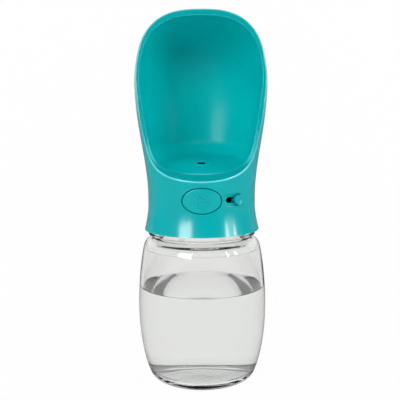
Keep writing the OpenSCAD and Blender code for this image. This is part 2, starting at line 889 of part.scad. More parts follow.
module arc_block(from_a, to_a, r_in, r_out, half_h) {
    translate([0, 0, button_z - half_h])
        rotate([0, 0, from_a - 90])
            rotate_extrude(angle = to_a - from_a)
                translate([r_in, 0])
                    square([r_out - r_in, 2 * half_h]);
}

module lock_slider() {
    color(teal)
        union() {
            arc_block(plate_from, plate_to, plate_in, plate_out, plate_half_h);
            arc_block(web_from, tongue_to, tongue_in, plate_in + eps, shank_r);
            arc_block(tongue_from, tongue_to, tongue_in, tongue_out, plate_half_h);
            translate([0, 0, button_z])
                radial(lock_a)
                    translate([0, 0, plate_out - 0.5])
                        cylinder(r = shank_r, h = track_floor_r - plate_out + 1.1);
        }
}

module lock_knob() {
    knob_low = track_floor_r + 0.1;
    knob_h = waist_r + knob_proud - knob_low;
    dish_r = 6;
    color(teal)
        translate([0, 0, button_z])
            radial(lock_a)
                translate([0, 0, knob_low])
                    difference() {
                        cylinder(r = knob_r, h = knob_h);
                        translate([0, 0, -eps])
                            cylinder(r = shank_r, h = 0.5 + eps);
                        translate([0, 0, knob_h + dish_r - 0.5])
                            sphere(r = dish_r);
                    }
}

bottle();
head_shell();
neck_seal();
inner_cover();
cover_screws();
inlet_seal();
valve_barrel();
barrel_screws();
outlet_seal();
button_cap();
valve_stem();
o_ring_front();
o_ring_middle();
o_ring_rear();
stem_clip();
return_spring();
lock_slider();
lock_knob();
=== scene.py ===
# %% [markdown]
# # A travel water bottle for dogs
# The bottle screws up into a one-piece collar and drinking scoop, and a push-button
# valve lets water through from one to the other. Everything is in metres, in the
# frame of the solid model: +Z is up and the scoop opens towards -Y.
# The solid model is loaded first, because each piece made here has to sit on it.

# %% Load the solid model
import json
import math

import bmesh
import bpy
from mathutils import Matrix, Vector


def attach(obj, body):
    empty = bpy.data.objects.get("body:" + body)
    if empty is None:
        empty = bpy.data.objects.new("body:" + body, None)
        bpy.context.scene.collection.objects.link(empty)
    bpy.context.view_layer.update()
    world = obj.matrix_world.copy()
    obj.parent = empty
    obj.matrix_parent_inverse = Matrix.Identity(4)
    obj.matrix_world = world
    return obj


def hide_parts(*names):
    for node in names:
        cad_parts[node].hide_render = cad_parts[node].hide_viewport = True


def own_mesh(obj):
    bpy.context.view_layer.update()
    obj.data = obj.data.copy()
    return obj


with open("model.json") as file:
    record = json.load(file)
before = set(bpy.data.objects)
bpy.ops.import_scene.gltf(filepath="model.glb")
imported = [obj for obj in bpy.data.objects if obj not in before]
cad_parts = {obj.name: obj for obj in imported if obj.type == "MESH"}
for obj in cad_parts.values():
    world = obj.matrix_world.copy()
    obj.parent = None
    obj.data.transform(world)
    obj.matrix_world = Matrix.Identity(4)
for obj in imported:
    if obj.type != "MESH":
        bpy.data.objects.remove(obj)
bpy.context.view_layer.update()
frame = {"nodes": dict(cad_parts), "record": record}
MM = 0.001

# %% [markdown]
# ## Camera
# A product like this is shown from the front, a little above its middle, with a
# short telephoto lens. The camera stands 340 mm in front of the bottle's axis and
# looks 7 degrees down, so the collar's lower edge and the waterline show as flat
# ellipses. It is turned by a third of a degree about its view, as a hand would.

# %% Camera
CAMERA_DISTANCE = 340.0
CAMERA_HEIGHT = 140.7
CAMERA_DOWN = 7.27
CAMERA_ROLL = 0.37
CAMERA_ASIDE = -0.87
CAMERA_LENS = 56.43

camera_data = bpy.data.cameras.new("camera")
camera_data.lens = CAMERA_LENS
camera_data.sensor_width = 36.0
camera = bpy.data.objects.new("camera", camera_data)
bpy.context.collection.objects.link(camera)
camera.matrix_world = (
    Matrix.Translation(Vector((CAMERA_ASIDE, -CAMERA_DISTANCE, CAMERA_HEIGHT)) * MM)
    @ Matrix.Rotation(math.radians(90 - CAMERA_DOWN), 4, "X")
    @ Matrix.Rotation(math.radians(-CAMERA_ROLL), 4, "Z")
)
bpy.context.scene.camera = camera
bpy.context.scene.view_settings.view_transform = "Standard"
print("camera", [round(c, 4) for c in camera.location])

# %% [markdown]
# ## Mesh helpers
# A few helpers make nearly all the pieces. `new_piece` turns points in millimetres
# into a mesh. `rings_piece` puts a skin over rings of points, and `lathe` spins an
# outline about an axis. `cut` and `join` are Boolean modifiers that are applied at
# once, so that the final mesh is one closed skin. `shade` finds the sharp edges by
# angle, and its weighted normals keep the broad faces smooth beside a cut.

# %% Mesh helpers
SHARP_ANGLE = math.radians(32)


def new_piece(name, points, faces):
    """A mesh object from points in millimetres."""
    mesh = bpy.data.meshes.new(name)
    mesh.from_pydata([Vector(p) * MM for p in points], [], faces)
    mesh.validate()
    piece = bpy.data.objects.new(name, mesh)
    bpy.context.collection.objects.link(piece)
    shell = bmesh.new()
    shell.from_mesh(mesh)
    bmesh.ops.recalc_face_normals(shell, faces=shell.faces)
    shell.to_mesh(mesh)
    shell.free()
    return piece


def apply_modifier(piece, kind, **settings):
    """Adds one modifier, applies it and leaves a plain mesh."""
    modifier = piece.modifiers.new(kind, kind)
    for key, value in settings.items():
        setattr(modifier, key, value)
    graph = bpy.context.evaluated_depsgraph_get()
    mesh = bpy.data.meshes.new_from_object(piece.evaluated_get(graph))
    piece.modifiers.clear()
    old = piece.data
    piece.data = mesh
    bpy.data.meshes.remove(old)
    mesh.name = piece.name


def boolean(piece, others, operation):
    """Cuts pieces from a piece or joins them to it, and removes them."""
    for other in others:
        apply_modifier(piece, "BOOLEAN", object=other, operation=operation, solver="MANIFOLD")
        bpy.data.objects.remove(other)
    return piece


def cut(piece, *cutters):
    return boolean(piece, cutters, "DIFFERENCE")


def join(piece, *additions):
    return boolean(piece, additions, "UNION")


def shade(piece, angle=SHARP_ANGLE):
    """Smooth shading with sharp edges by angle and area-weighted normals."""
    mesh = piece.data
    mesh.shade_smooth()
    mesh.set_sharp_from_angle(angle=angle)
    apply_modifier(piece, "WEIGHTED_NORMAL", keep_sharp=True, weight=80)
    return piece


def grid_faces(rows, columns, wrap_rows=False):
    """Quads between rows of points, each row a closed ring."""
    faces = []
    for row in range(rows if wrap_rows else rows - 1):
        below, above = row * columns, (row + 1) % rows * columns
        for i in range(columns):
            j = (i + 1) % columns
            faces.append((below + i, below + j, above + j, above + i))
    return faces


def rings_piece(name, rings):
    """A closed skin over rings of points that all have the same count."""
    columns = len(rings[0])
    points = [p for ring in rings for p in ring]
    faces = grid_faces(len(rings), columns)
    for start in (0, (len(rings) - 1) * columns):
        ring = points[start:start + columns]
        points.append([sum(p[k] for p in ring) / columns for k in range(3)])
        hub = len(points) - 1
        faces += [(hub, start + i, start + (i + 1) % columns) for i in range(columns)]
    return new_piece(name, points, faces)


def about_z(p, r, angle):
    return (r * math.cos(angle), r * math.sin(angle), p)


def lathe(name, outline, steps=192, place=about_z, closed=False):
    """Spins (radius, height) points about an axis. Ends on the axis close by themselves."""
    rings = [
        [place(h, max(r, 0.0), math.tau * i / steps) for i in range(steps)]
        for r, h in outline
    ]
    if closed:
        points = [p for ring in rings for p in ring]
        return new_piece(name, points, grid_faces(len(rings), steps, wrap_rows=True))
    on_axis = [outline[0][0] < 1e-6, outline[-1][0] < 1e-6]
    inner = rings[1 if on_axis[0] else 0:len(rings) - (1 if on_axis[1] else 0)]
    piece = rings_piece(name, inner)
    for flag, ring in zip(on_axis, (rings[0], rings[-1])):
        if flag:
            hub = piece.data.vertices[-1 if ring is rings[-1] else -2]
            hub.co = Vector(ring[0]) * MM
    return piece


def bezier(p, steps):
    """Points along a cubic curve, for outlines."""
    points = []
    for i in range(steps + 1):
        t = i / steps
        u = 1 - t
        weights = (u ** 3, 3 * t * u * u, 3 * t * t * u, t ** 3)
        points.append(tuple(sum(w * q[k] for w, q in zip(weights, p)) for k in range(2)))
    return points


def smooth(t):
    t = min(1.0, max(0.0, t))
    return t * t * (3 - 2 * t)


def dome(t, power):
    """A quarter of a superellipse: 1 at t = 0 and 0 at t = 1."""
    return 1.0 if t <= 0 else 0.0 if t >= 1 else (1 - t ** power) ** (1 / power)


# %% [markdown]
# ## Shader helpers
# A material here is written as a short sum, such as `0.3 + 0.1 * noise`. The class
# `Wire` wraps one output socket. Its operators add Math nodes for numbers. Colours
# and vectors go through Mix and Vector Math nodes, because a Math node would turn a
# colour grey. `Finish.node` adds any other node: settings first, then its sockets.

# %% Shader helpers
class Wire:
    """One output of a node, which can be added, multiplied and so on."""

    def __init__(self, finish, socket):
        self.finish = finish
        self.socket = socket

    def math(self, operation, *values):
        return self.finish.node("ShaderNodeMath", {"operation": operation}, *(values or (self,)))

    def __add__(self, other):
        return self.math("ADD", self, other)

    def __sub__(self, other):
        return self.math("SUBTRACT", self, other)

    def __rsub__(self, other):
        return self.math("SUBTRACT", other, self)

    def __mul__(self, other):
        return self.math("MULTIPLY", self, other)

    def __truediv__(self, other):
        return self.math("DIVIDE", self, other)

    def __rtruediv__(self, other):
        return self.math("DIVIDE", other, self)

    __radd__ = __add__
    __rmul__ = __mul__

    def between(self, low, high):
        """0 below low, 1 above high and a smooth step from one to the other."""
        return self.finish.node(
            "ShaderNodeMapRange", {"interpolation_type": "SMOOTHSTEP"},
            Value=self, **{"From Min": low, "From Max": high},
        )

    def part(self, axis):
        return self.finish.node("ShaderNodeSeparateXYZ", None, self, output=axis)

    def stretched(self, x, y, z):
        return self.finish.node(
            "ShaderNodeVectorMath", {"operation": "MULTIPLY"}, self, (x, y, z),
        )


class Finish:
    """A material under construction."""

    def __init__(self, name):
        self.material = bpy.data.materials.new(name)
        self.material.use_nodes = True
        self.tree = self.material.node_tree
        self.tree.nodes.clear()

    def node(self, kind, settings=None, *inputs, output=0, **named):
        made = self.tree.nodes.new(kind)
        for key, value in (settings or {}).items():
            setattr(made, key, value)
        for key, value in list(enumerate(inputs)) + list(named.items()):
            socket = made.inputs[key]
            if isinstance(value, Wire):
                self.tree.links.new(value.socket, socket)
            else:
                socket.default_value = value
        return Wire(self, made.outputs[output]) if made.outputs else None

    def place(self):
        """Object coordinates in metres, the same on every piece."""
        return self.node("ShaderNodeTexCoord", output="Object")

    def noise(self, scale, detail=2.0, vector=None):
        return self.node(
            "ShaderNodeTexNoise", None,
            Vector=vector or self.place(), Scale=scale, Detail=detail,
        )

    def blend(self, share, first, second):
        """A colour between two colours."""
        mix = self.tree.nodes.new("ShaderNodeMix")
        mix.data_type = "RGBA"
        for index, value in ((0, share), (6, first), (7, second)):
            if isinstance(value, Wire):
                self.tree.links.new(value.socket, mix.inputs[index])
            else:
                mix.inputs[index].default_value = value if index == 0 else (*value, 1.0)
        return Wire(self, mix.outputs[2])

    def bump(self, height, strength, distance):
        return self.node(
            "ShaderNodeBump", None, Strength=strength, Distance=distance, Height=height,
        )

    def surface(self, **sockets):
        """The closing shader. Names with an underscore stand for names with a space."""
        sockets = {key.replace("_", " "): value for key, value in sockets.items()}
        shader = self.node("ShaderNodeBsdfPrincipled", None, **sockets)
        self.node("ShaderNodeOutputMaterial", None, Surface=shader)
        print(self.material.name, "with", len(self.tree.nodes), "nodes")
        return self.material


# %% [markdown]
# Each finished piece gets its material, rides on a body of the solid model and stands
# for the solids that it replaces. One helper does all three, so that no piece can miss a
# step.

# %% Placing a piece
def place_piece(piece, material, body, replaces=()):
    piece.data.materials.clear()
    piece.data.materials.append(material)
    piece.data.polygons.foreach_set("material_index", [0] * len(piece.data.polygons))
    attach(piece, body)
    if replaces:
        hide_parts(*replaces)
    print(piece.name, "on", body, "with", len(piece.data.polygons), "faces")
    return piece


# %% [markdown]
# ## Finishes
# The collar, scoop, button and lock are moulded in one glossy teal plastic. Moulded
# gloss is never perfectly even: the colour clouds a little over a few centimetres,
# the roughness wanders, and the skin has a very shallow waviness. A clear coat carries
# most of the gloss.
#
# Four places differ, and each has a mask made from the place and the direction of the
# surface. The inside of the bowl is painted lighter, as painted light that stands in for
# the light that comes through its thin wall, and it is less glossy: it is where the
# surface faces the axis, above the lip. The rim's face is painted a shade darker, as
# painted shade, and its two edges are painted pale, as painted highlights. The rim's
# curve is the one that shapes the scoop further down, so both have the same values.
# Last, the inside of the outlet is painted almost black, as painted shade. The direction
# is turned into the piece's own frame, so that the masks go with the head when it turns.

# %% Where the teal changes
LIP, RIM_AHEAD, RIM_DROP, RIM_FALL = 0.1103, 0.013, 0.0163, 0.007
LEAN, LEAN_FROM, LEAN_TO = 0.003, 0.1303, 0.1985
RIM_SLOPE = 1.4
RIM_DEEP, RIM_DEEPEST = 0.0012, 0.002
BOWL_FROM, BOWL_TO, FACES_IN, FACES_OUT = 0.109, 0.113, 0.004, 0.024
OUTLET_EDGE, OUTLET_FADE = 0.0023, 0.0025
OUTLET_BELOW, OUTLET_ABOVE = 0.12, 0.125


# %% Teal plastic
def facing_own_frame(finish):
    """The direction that the surface faces, in the piece's own frame."""
    return finish.node(
        "ShaderNodeVectorTransform",
        {"vector_type": "NORMAL", "convert_from": "WORLD", "convert_to": "OBJECT"},
        finish.node("ShaderNodeNewGeometry", output="Normal"),
    )


def teal_masks(finish):
    """Shares of 0 to 1 for the painted light in the bowl, the painted shade on the rim's face, the
    painted highlight on the rim's edges and the painted shade in the outlet.
    """
    place, facing = finish.place(), facing_own_frame(finish)
    height, ahead = place.part("Z"), 0.0 - place.part("Y")
    facing_out = finish.node(
        "ShaderNodeVectorMath", {"operation": "DOT_PRODUCT"},
        facing, place.stretched(1.0, 1.0, 0.0), output="Value",
    )
    # The bowl's inside: its colour is painted lighter there, as painted light, and its gloss is
    # less.
    bowl_painted_light = (1.0 - facing_out.between(FACES_IN, FACES_OUT)) * height.between(BOWL_FROM, BOWL_TO)

    rise = ((LIP - height) / RIM_FALL).math("EXPONENT")
    rim_ahead = RIM_AHEAD + RIM_DROP * rise - LEAN * height.between(LEAN_FROM, LEAN_TO)
    on_rim = 1.0 - (rim_ahead - ahead).between(RIM_DEEP, RIM_DEEPEST)
    slope = RIM_SLOPE * rise
    facing_rim = (slope * facing.part("Z") - facing.part("Y")) / (1.0 + slope * slope).math("SQRT")
    # The rim's face gets painted shade.
    rim_face_painted_shade = on_rim * facing_rim.between(0.6, 0.95)
    # The rim's two edges get a painted highlight.
    rim_edge_painted_highlight = on_rim * facing_rim.between(0.15, 0.5) * (1.0 - facing_rim.between(0.75, 0.95))

    from_axis = (place.part("X") * place.part("X") + ahead * ahead).math("SQRT")
    # The inside of the outlet gets painted shade.
    outlet_painted_shade = 1.0 - from_axis.between(OUTLET_EDGE, OUTLET_FADE)
    outlet_painted_shade = outlet_painted_shade * (1.0 - height.between(OUTLET_BELOW, OUTLET_ABOVE))
    return bowl_painted_light, rim_face_painted_shade, rim_edge_painted_highlight, outlet_painted_shade


def teal_plastic():
    finish = Finish("teal_plastic")
    cloud = finish.noise(28.0, 3.0)
    grain = finish.noise(900.0, 2.0)
    wave = finish.noise(90.0, 1.0)
    outside = finish.blend(cloud, (0.0, 0.345, 0.37), (0.0, 0.385, 0.41))
    # The inside colour is the bowl's teal painted lighter: painted light for what comes through the
    # thin wall.
    inside = finish.blend(cloud, (0.0, 0.455, 0.47), (0.0, 0.495, 0.51))
    bowl_painted_light, rim_face_painted_shade, rim_edge_painted_highlight, outlet_painted_shade = teal_masks(finish)
    colour = finish.blend(bowl_painted_light, outside, inside)
    # Painted shade on the rim's face.
    colour = finish.blend(rim_face_painted_shade, colour, (0.0, 0.30, 0.32))
    # Painted highlight along the rim's two edges.
    colour = finish.blend(rim_edge_painted_highlight, colour, (0.10, 0.62, 0.66))
    # Painted shade, almost black, inside the outlet.
    colour = finish.blend(outlet_painted_shade, colour, (0.0, 0.02, 0.03))
    return finish.surface(
        Base_Color=colour,
        Roughness=0.17 + 0.04 * grain + 0.03 * cloud + 0.1 * bowl_painted_light + 0.3 * outlet_painted_shade,
        Coat_Weight=1.0 - 0.92 * bowl_painted_light,
        Coat_Roughness=0.17,
        Coat_IOR=1.46,
        IOR=1.46,
        Specular_IOR_Level=0.04,
        Normal=finish.bump(wave * 0.7 + grain * 0.1, 0.25, 0.0002),
    )


TEAL = teal_plastic()

# %% [markdown]
# The bottle is clear plastic, 2 mm thick. It is drawn as a real refracting shell, so
# its edges darken by themselves. Each wall takes away a little light, as the real
# material does. Blown plastic is slightly wavy, which shows in the reflections.

# %% Clear plastic and water
def clear_plastic():
    finish = Finish("clear_plastic")
    wave = finish.noise(38.0, 2.0, vector=finish.place().stretched(1.0, 1.0, 0.35))
    haze = finish.noise(160.0, 2.0)
    return finish.surface(
        Base_Color=(0.89, 0.893, 0.887, 1.0),
        Roughness=0.02 * haze,
        IOR=1.5,
        Transmission_Weight=1.0,
        Normal=finish.bump(wave, 0.35, 0.0008),
    )


def clear_water():
    finish = Finish("clear_water")
    ripple = finish.noise(45.0, 1.0)
    return finish.surface(
        Base_Color=(0.985, 0.992, 0.99, 1.0),
        Roughness=0.0,
        IOR=1.333,
        Transmission_Weight=1.0,
        Normal=finish.bump(ripple, 0.15, 0.0004),
    )


CLEAR = clear_plastic()
WATER = clear_water()

# %% [markdown]
# The parts inside the collar are natural white plastic, white silicone and plain
# stainless steel. They show when the head is off the bottle, through the outlet and
# round the button. Steel gets fine turning marks, silicone a soft dusty surface.

# %% Inner finishes
def pale_plastic():
    finish = Finish("pale_plastic")
    cloud = finish.noise(60.0, 3.0)
    grain = finish.noise(1400.0, 2.0)
    return finish.surface(
        Base_Color=finish.blend(cloud, (0.74, 0.77, 0.76), (0.82, 0.84, 0.83)),
        Roughness=0.42 + 0.12 * grain,
        Normal=finish.bump(grain, 0.2, 0.00015),
    )


def silicone():
    finish = Finish("silicone")
    cloud = finish.noise(80.0, 3.0)
    dust = finish.noise(2600.0, 2.0)
    return finish.surface(
        Base_Color=finish.blend(cloud, (0.78, 0.79, 0.75), (0.86, 0.86, 0.82)),
        Roughness=0.5 + 0.15 * dust,
        Specular_IOR_Level=0.4,
        Normal=finish.bump(dust, 0.25, 0.0001),
    )


def steel():
    finish = Finish("steel")
    marks = finish.noise(1500.0, 3.0, vector=finish.place().stretched(1.0, 1.0, 0.2))
    cloud = finish.noise(200.0, 2.0)
    return finish.surface(
        Base_Color=finish.blend(cloud, (0.56, 0.57, 0.59), (0.66, 0.67, 0.69)),
        Metallic=1.0,
        Roughness=0.22 + 0.16 * marks,
        Normal=finish.bump(marks, 0.15, 0.00005),
    )


PALE = pale_plastic()
SILICONE = silicone()
STEEL = steel()

# %% [markdown]
# ## The bottle
# A bottle is a turned shape, so its outline is drawn once from the foot up and back
# down inside, and spun about the axis. The outline repeats the solid model's values.
# The neck gets the screw thread that the solid leaves out: one start, a 4 mm lead,
# fading out at both ends as a moulded thread does.

# %% Bottle values
BOTTLE_R, BELLY_Z = 35.0, 39.0
FOOT_R, HEEL_R, HEEL_Z = 24.5, 29.3, 3.0
SHOULDER_R, SHOULDER_Z, SHOULDER_H = 32.0, 72.0, 5.8
WALL, FLOOR_T, BASE_RISE = 2.0, 2.4, 2.5
NECK_R, NECK_WALL = 25.8, 2.0
FLANGE_R, FLANGE_T = 29.1, 2.5
BODY_TOP = SHOULDER_Z + SHOULDER_H
FLANGE_Z = BODY_TOP + 1.5
SKIRT_Z = FLANGE_Z + FLANGE_T + 0.2
NECK_TOP = FLANGE_Z + FLANGE_T + 7.8
THREAD_LEAD, THREAD_TURNS, THREAD_FADE = 4.0, 1.1, 30.0
THREAD_ROOT_W, THREAD_CREST_W = 1.9, 0.9
NECK_THREAD_Z, NECK_THREAD_H = 83.6, 1.1


def bottle_side(inset, lift):
    lower = bezier([
        (HEEL_R - inset, HEEL_Z + lift), (HEEL_R - inset + 3.1, HEEL_Z + 7 + lift),
        (BOTTLE_R - inset, BELLY_Z - 15), (BOTTLE_R - inset, BELLY_Z),
    ], 36)
    upper = bezier([
        (BOTTLE_R - inset, BELLY_Z), (BOTTLE_R - inset, BELLY_Z + 13),
        (SHOULDER_R + 1.6 - inset, SHOULDER_Z - 8), (SHOULDER_R - inset, SHOULDER_Z),
    ], 30)
    return lower + upper[1:]


def arc_corner(r, z, turn_from, radius, steps=4):
    """A rounded corner of an outline, a quarter turn from the given angle."""
    return [
        (r + radius * math.cos(math.radians(turn_from + 90 * i / steps)),
         z + radius * math.sin(math.radians(turn_from + 90 * i / steps)))
        for i in range(steps + 1)
    ]


def bottle_outside():
    edge = 0.5
    flange_top = FLANGE_Z + FLANGE_T
    return (
        bezier([(0, BASE_RISE), (10, BASE_RISE),
                (FOOT_R - 7, BASE_RISE * 0.7), (FOOT_R - 3, 0)], 16)
        + bezier([(FOOT_R, 0), (HEEL_R - 1.8, 0),
                  (HEEL_R - 0.7, HEEL_Z * 0.4), (HEEL_R, HEEL_Z)], 10)
        + bottle_side(0, 0)[1:]
        + bezier([
            (SHOULDER_R, SHOULDER_Z), (SHOULDER_R - 0.6, SHOULDER_Z + SHOULDER_H * 0.6),
            (SHOULDER_R - 2.4, BODY_TOP - 0.5), (NECK_R + 1.2, BODY_TOP - 0.3),
        ], 14)[1:]
        + [(NECK_R + 0.45, BODY_TOP - 0.02), (NECK_R + 0.1, BODY_TOP + 0.3)]
        + [(NECK_R, BODY_TOP + 0.7), (NECK_R, FLANGE_Z)]
        + arc_corner(FLANGE_R - edge, FLANGE_Z + edge, -90, edge)
        + arc_corner(FLANGE_R - edge, flange_top - edge, 0, edge)
        + [(NECK_R + 0.25, flange_top), (NECK_R + 0.07, flange_top + 0.07)]
        + [(NECK_R, flange_top + 0.25), (NECK_R, NECK_TOP - edge)]
        + arc_corner(NECK_R - edge, NECK_TOP - edge, 0, edge)[1:]
    )


def bottle_inside():
    shoulder = bezier([
        (SHOULDER_R - WALL, SHOULDER_Z - 0.6),
        (SHOULDER_R - WALL - 0.6, SHOULDER_Z + SHOULDER_H * 0.4),
        (SHOULDER_R - WALL - 2.8, BODY_TOP - 2.4),
        (NECK_R - NECK_WALL + 0.7, BODY_TOP - 1.8),
    ], 14)
    floor = bezier([
        (0, BASE_RISE + FLOOR_T), (10, BASE_RISE + FLOOR_T), (FOOT_R - 3, FLOOR_T + 0.4),
        (HEEL_R - WALL - 2, HEEL_Z + FLOOR_T - 1.6),
    ], 16)
    neck = NECK_R - NECK_WALL
    mouth = arc_corner(neck + 0.4, NECK_TOP - 0.4, 90, 0.4)
    side = bottle_side(WALL, FLOOR_T)
    return mouth + [(neck, BODY_TOP)] + shoulder[::-1] + side[::-1] + floor[::-1]


def thread(root_r, crest_r, from_z, start=0.0):
    """A helical ridge that fades into its wall at both ends."""
    steps, last = int(THREAD_TURNS * 96), 360.0 * THREAD_TURNS
    root_w, crest_w = THREAD_ROOT_W, THREAD_CREST_W
    inside = root_r - 0.5 * math.copysign(1, crest_r - root_r)
    rings = []
    for i in range(steps + 1):
        turned = last * i / steps
        rise = smooth(turned / THREAD_FADE) * smooth((last - turned) / THREAD_FADE)
        reach = root_r + (crest_r - root_r) * rise
        z = from_z + THREAD_LEAD * turned / 360
        angle = math.radians(start + turned)
        section = (
            (inside, -root_w / 2), (root_r, -root_w / 2), (reach, -crest_w / 2),
            (reach, crest_w / 2), (root_r, root_w / 2), (inside, root_w / 2),
        )
        rings.append([(r * math.cos(angle), r * math.sin(angle), z + h) for r, h in section])
    return rings_piece("ridge", rings)


# %% Bottle
def make_bottle():
    bottle = lathe("bottle_clear", bottle_outside() + bottle_inside(), steps=256)
    join(bottle, thread(NECK_R, NECK_R + NECK_THREAD_H, NECK_THREAD_Z))
    shade(bottle, math.radians(40))
    return place_piece(bottle, CLEAR, "bottle", ["bottle"])


make_bottle()

# %% [markdown]
# ## The water
# Water fills the bottle to half its height. It is a turned solid that reaches a
# hair's breadth into the wall, so that light passes from plastic to water with no
# film of air between them. Its top has a meniscus that climbs the wall.

# %% Water
WATER_Z = 50.0
WATER_OVERLAP = 0.05
MENISCUS, MENISCUS_W = 1.3, 7.0


def wall_r(z):
    """The bottle's inner radius at a height."""
    side = bottle_side(WALL, FLOOR_T)
    for (r0, z0), (r1, z1) in zip(side, side[1:]):
        if z0 <= z <= z1:
            return r0 + (r1 - r0) * (z - z0) / (z1 - z0)
    return side[-1][0]


def make_water():
    below = [p for p in bottle_inside()[::-1] if p[1] < WATER_Z + MENISCUS - 0.4]
    skin = []
    for i, (r, z) in enumerate(below):
        r0, z0 = below[max(i - 1, 0)]
        r1, z1 = below[min(i + 1, len(below) - 1)]
        length = math.hypot(r1 - r0, z1 - z0)
        across = ((z1 - z0) / length, -(r1 - r0) / length)
        skin.append((max(0.0, r + WATER_OVERLAP * across[0]), z + WATER_OVERLAP * across[1]))
    skin[0] = (0.0, skin[0][1])
    edge = wall_r(WATER_Z + MENISCUS) + WATER_OVERLAP
    skin.append((edge, WATER_Z + MENISCUS))
    top = [
        (edge - MENISCUS_W * (i / 12) ** 1.4, WATER_Z + MENISCUS * math.exp(-4.5 * (i / 12) ** 1.2))
        for i in range(1, 13)
    ]
    flat = [(top[-1][0] * (1 - i / 6), WATER_Z) for i in range(1, 7)]
    water = lathe("water", skin + top + flat, steps=256)
    shade(water, math.radians(50))
    return place_piece(water, WATER, "bottle")


make_water()

# %% [markdown]
# ## Collar and scoop
# This is the piece that sells the bottle, and the hardest one to make. It is one thin
# moulding: round where it screws on, opening into a deep scoop that is cut away in
# front, with an even rim all round. Modelling it by subdivision would leave the rim's
# width to chance. Here every level has a section, a front half and a back half of an
# ellipse, and 256 lines run up the sections from the lower edge to the rim, over it
# and down inside to the outlet. The lines give clean quads that follow the rim, and
# the rim's two edges are rounded along each line.

# %% Head values
WAIST_R, SKIRT_FLARE, FLARE_H = 29.0, 2.1, 13.0
SCOOP_W, HEAD_TOP = 70.5, SKIRT_Z + 116.5
FLARE_TOP, SWELL_Z, FULL_Z = SKIRT_Z + FLARE_H, SKIRT_Z + 18.0, SKIRT_Z + 75.0
CROWN_Z, BACK_TURN_Z = FULL_Z + 2.0, SKIRT_Z + 68.0
CROWN, BACK_CROWN, BACK_DEPTH, CENTRE_FADE = 2.7, 2.4, 32.5, 25.0
SHELL_T, CROWN_IN = 1.8, HEAD_TOP - 3.0
LIP_Z, LIP_BAND_H, LIP_BAND_T = SKIRT_Z + 28.3, 3.3, 4.0
LIP_IN_Z, BAND_FADE, LEAN_START = LIP_Z + LIP_BAND_H, 16.0, LIP_Z + 20
RIM_FRONT, RIM_SWEEP, RIM_SWEEP_IN, RIM_LEAN = 13.0, 7.0, 4.6, 3.0
OUTLET_Z, FLOOR_SLOPE, BOWL_FILLET = SKIRT_Z + 35.4, math.tan(math.radians(10)), 8.0
BUTTON_Z = SKIRT_Z + 18.3
RISER_FLANGE_R, RISER_R, OUTLET_R = 6.2, 4.1, 2.25
RISER_GAP, OUTLET_FLOOR_T = 0.15, 0.9
RISER_TOP_Z = OUTLET_Z - OUTLET_FLOOR_T - FLOOR_SLOPE * RISER_R - RISER_GAP


def half_width(z, inset, top):
    if z < FLARE_TOP:
        return WAIST_R - inset + SKIRT_FLARE * ((FLARE_TOP - z) / FLARE_H) ** 1.5
    if z < CROWN_Z:
        share = smooth((z - SWELL_Z) / (FULL_Z - SWELL_Z))
        return WAIST_R - inset + (SCOOP_W / 2 - WAIST_R) * share
    return (SCOOP_W / 2 - inset) * dome((z - CROWN_Z) / (top - CROWN_Z), CROWN)


def back_reach(z, inset, top):
    if z < FLARE_TOP:
        return half_width(z, inset, top)
    if z < BACK_TURN_Z:
        share = smooth((z - SWELL_Z) / (BACK_TURN_Z - SWELL_Z))
        return WAIST_R - inset + (BACK_DEPTH - WAIST_R) * share
    tip = RIM_LEAN - RIM_FRONT
    turned = (z - BACK_TURN_Z) / (top - BACK_TURN_Z)
    return tip + (BACK_DEPTH - inset - tip) * dome(turned, BACK_CROWN)


def lean(z):
    return RIM_LEAN * smooth((z - LEAN_START) / (HEAD_TOP - LEAN_START))


def front_reach(z, inner):
    wide = half_width(z, 0, HEAD_TOP)
    if not inner:
        return wide
    return wide - LIP_BAND_T + (LIP_BAND_T - SHELL_T) * smooth((z - LIP_IN_Z) / BAND_FADE)


def rim_y(z, inner=False):
    lip, sweep = (LIP_IN_Z, RIM_SWEEP_IN) if inner else (LIP_Z, RIM_SWEEP)
    return lean(z) - RIM_FRONT - (front_reach(lip, inner) - RIM_FRONT) * math.exp((lip - z) / sweep)


def centre_share(z):
    """0 where the sections are round the axis, 1 where their middle follows the rim."""
    return smooth((z - BACK_TURN_Z) / CENTRE_FADE)


def centre_y(z):
    return rim_y(z) * centre_share(z)


def hooded(x, y, z):
    """Ahead of the bottle's axis the hood curls in again, as the front of a ball does."""
    ahead = min(1.0, max(0.0, -y) / (SCOOP_W / 2))
    share = 1 - centre_share(z) * (1 - math.sqrt(1 - ahead * ahead))
    return (x * share, y, FULL_Z + (z - FULL_Z) * share if z > FULL_Z else z)


def head_point(z, a, inner):
    """The point at a height and at an angle, 0 in front and pi behind."""
    wide, back = (
        (half_width(z, SHELL_T, CROWN_IN), back_reach(z, SHELL_T, CROWN_IN)) if inner
        else (half_width(z, 0, HEAD_TOP), back_reach(z, 0, HEAD_TOP))
    )
    middle = centre_y(z)
    reach = front_reach(z, inner) if math.cos(a) > 0 else back - middle
    return hooded(wide * math.sin(a), middle - math.cos(a) * reach, z)


def rim_angle(z, inner):
    side = (centre_y(z) - rim_y(z, inner)) / max(0.01, front_reach(z, inner))
    return math.acos(max(-1.0, min(1.0, side)))


def line_at_rim(z, inner):
    """The share of the way round, 0 to 1, of the line that meets the rim at a height."""
    lip, top = (LIP_IN_Z, CROWN_IN) if inner else (LIP_Z, HEAD_TOP)
    if z <= lip:
        return 0.0
    t = (z - lip) / (top - lip)
    return rim_angle(z, inner) / math.pi + 0.5 * (1 - math.sqrt(max(0.0, 1 - t * t)))


def rim_height(s, inner):
    low, high = (LIP_IN_Z, CROWN_IN) if inner else (LIP_Z, HEAD_TOP)
    for _ in range(40):
        half = (low + high) / 2
        if line_at_rim(half, inner) < s:
            low = half
        else:
            high = half
    return (low + high) / 2


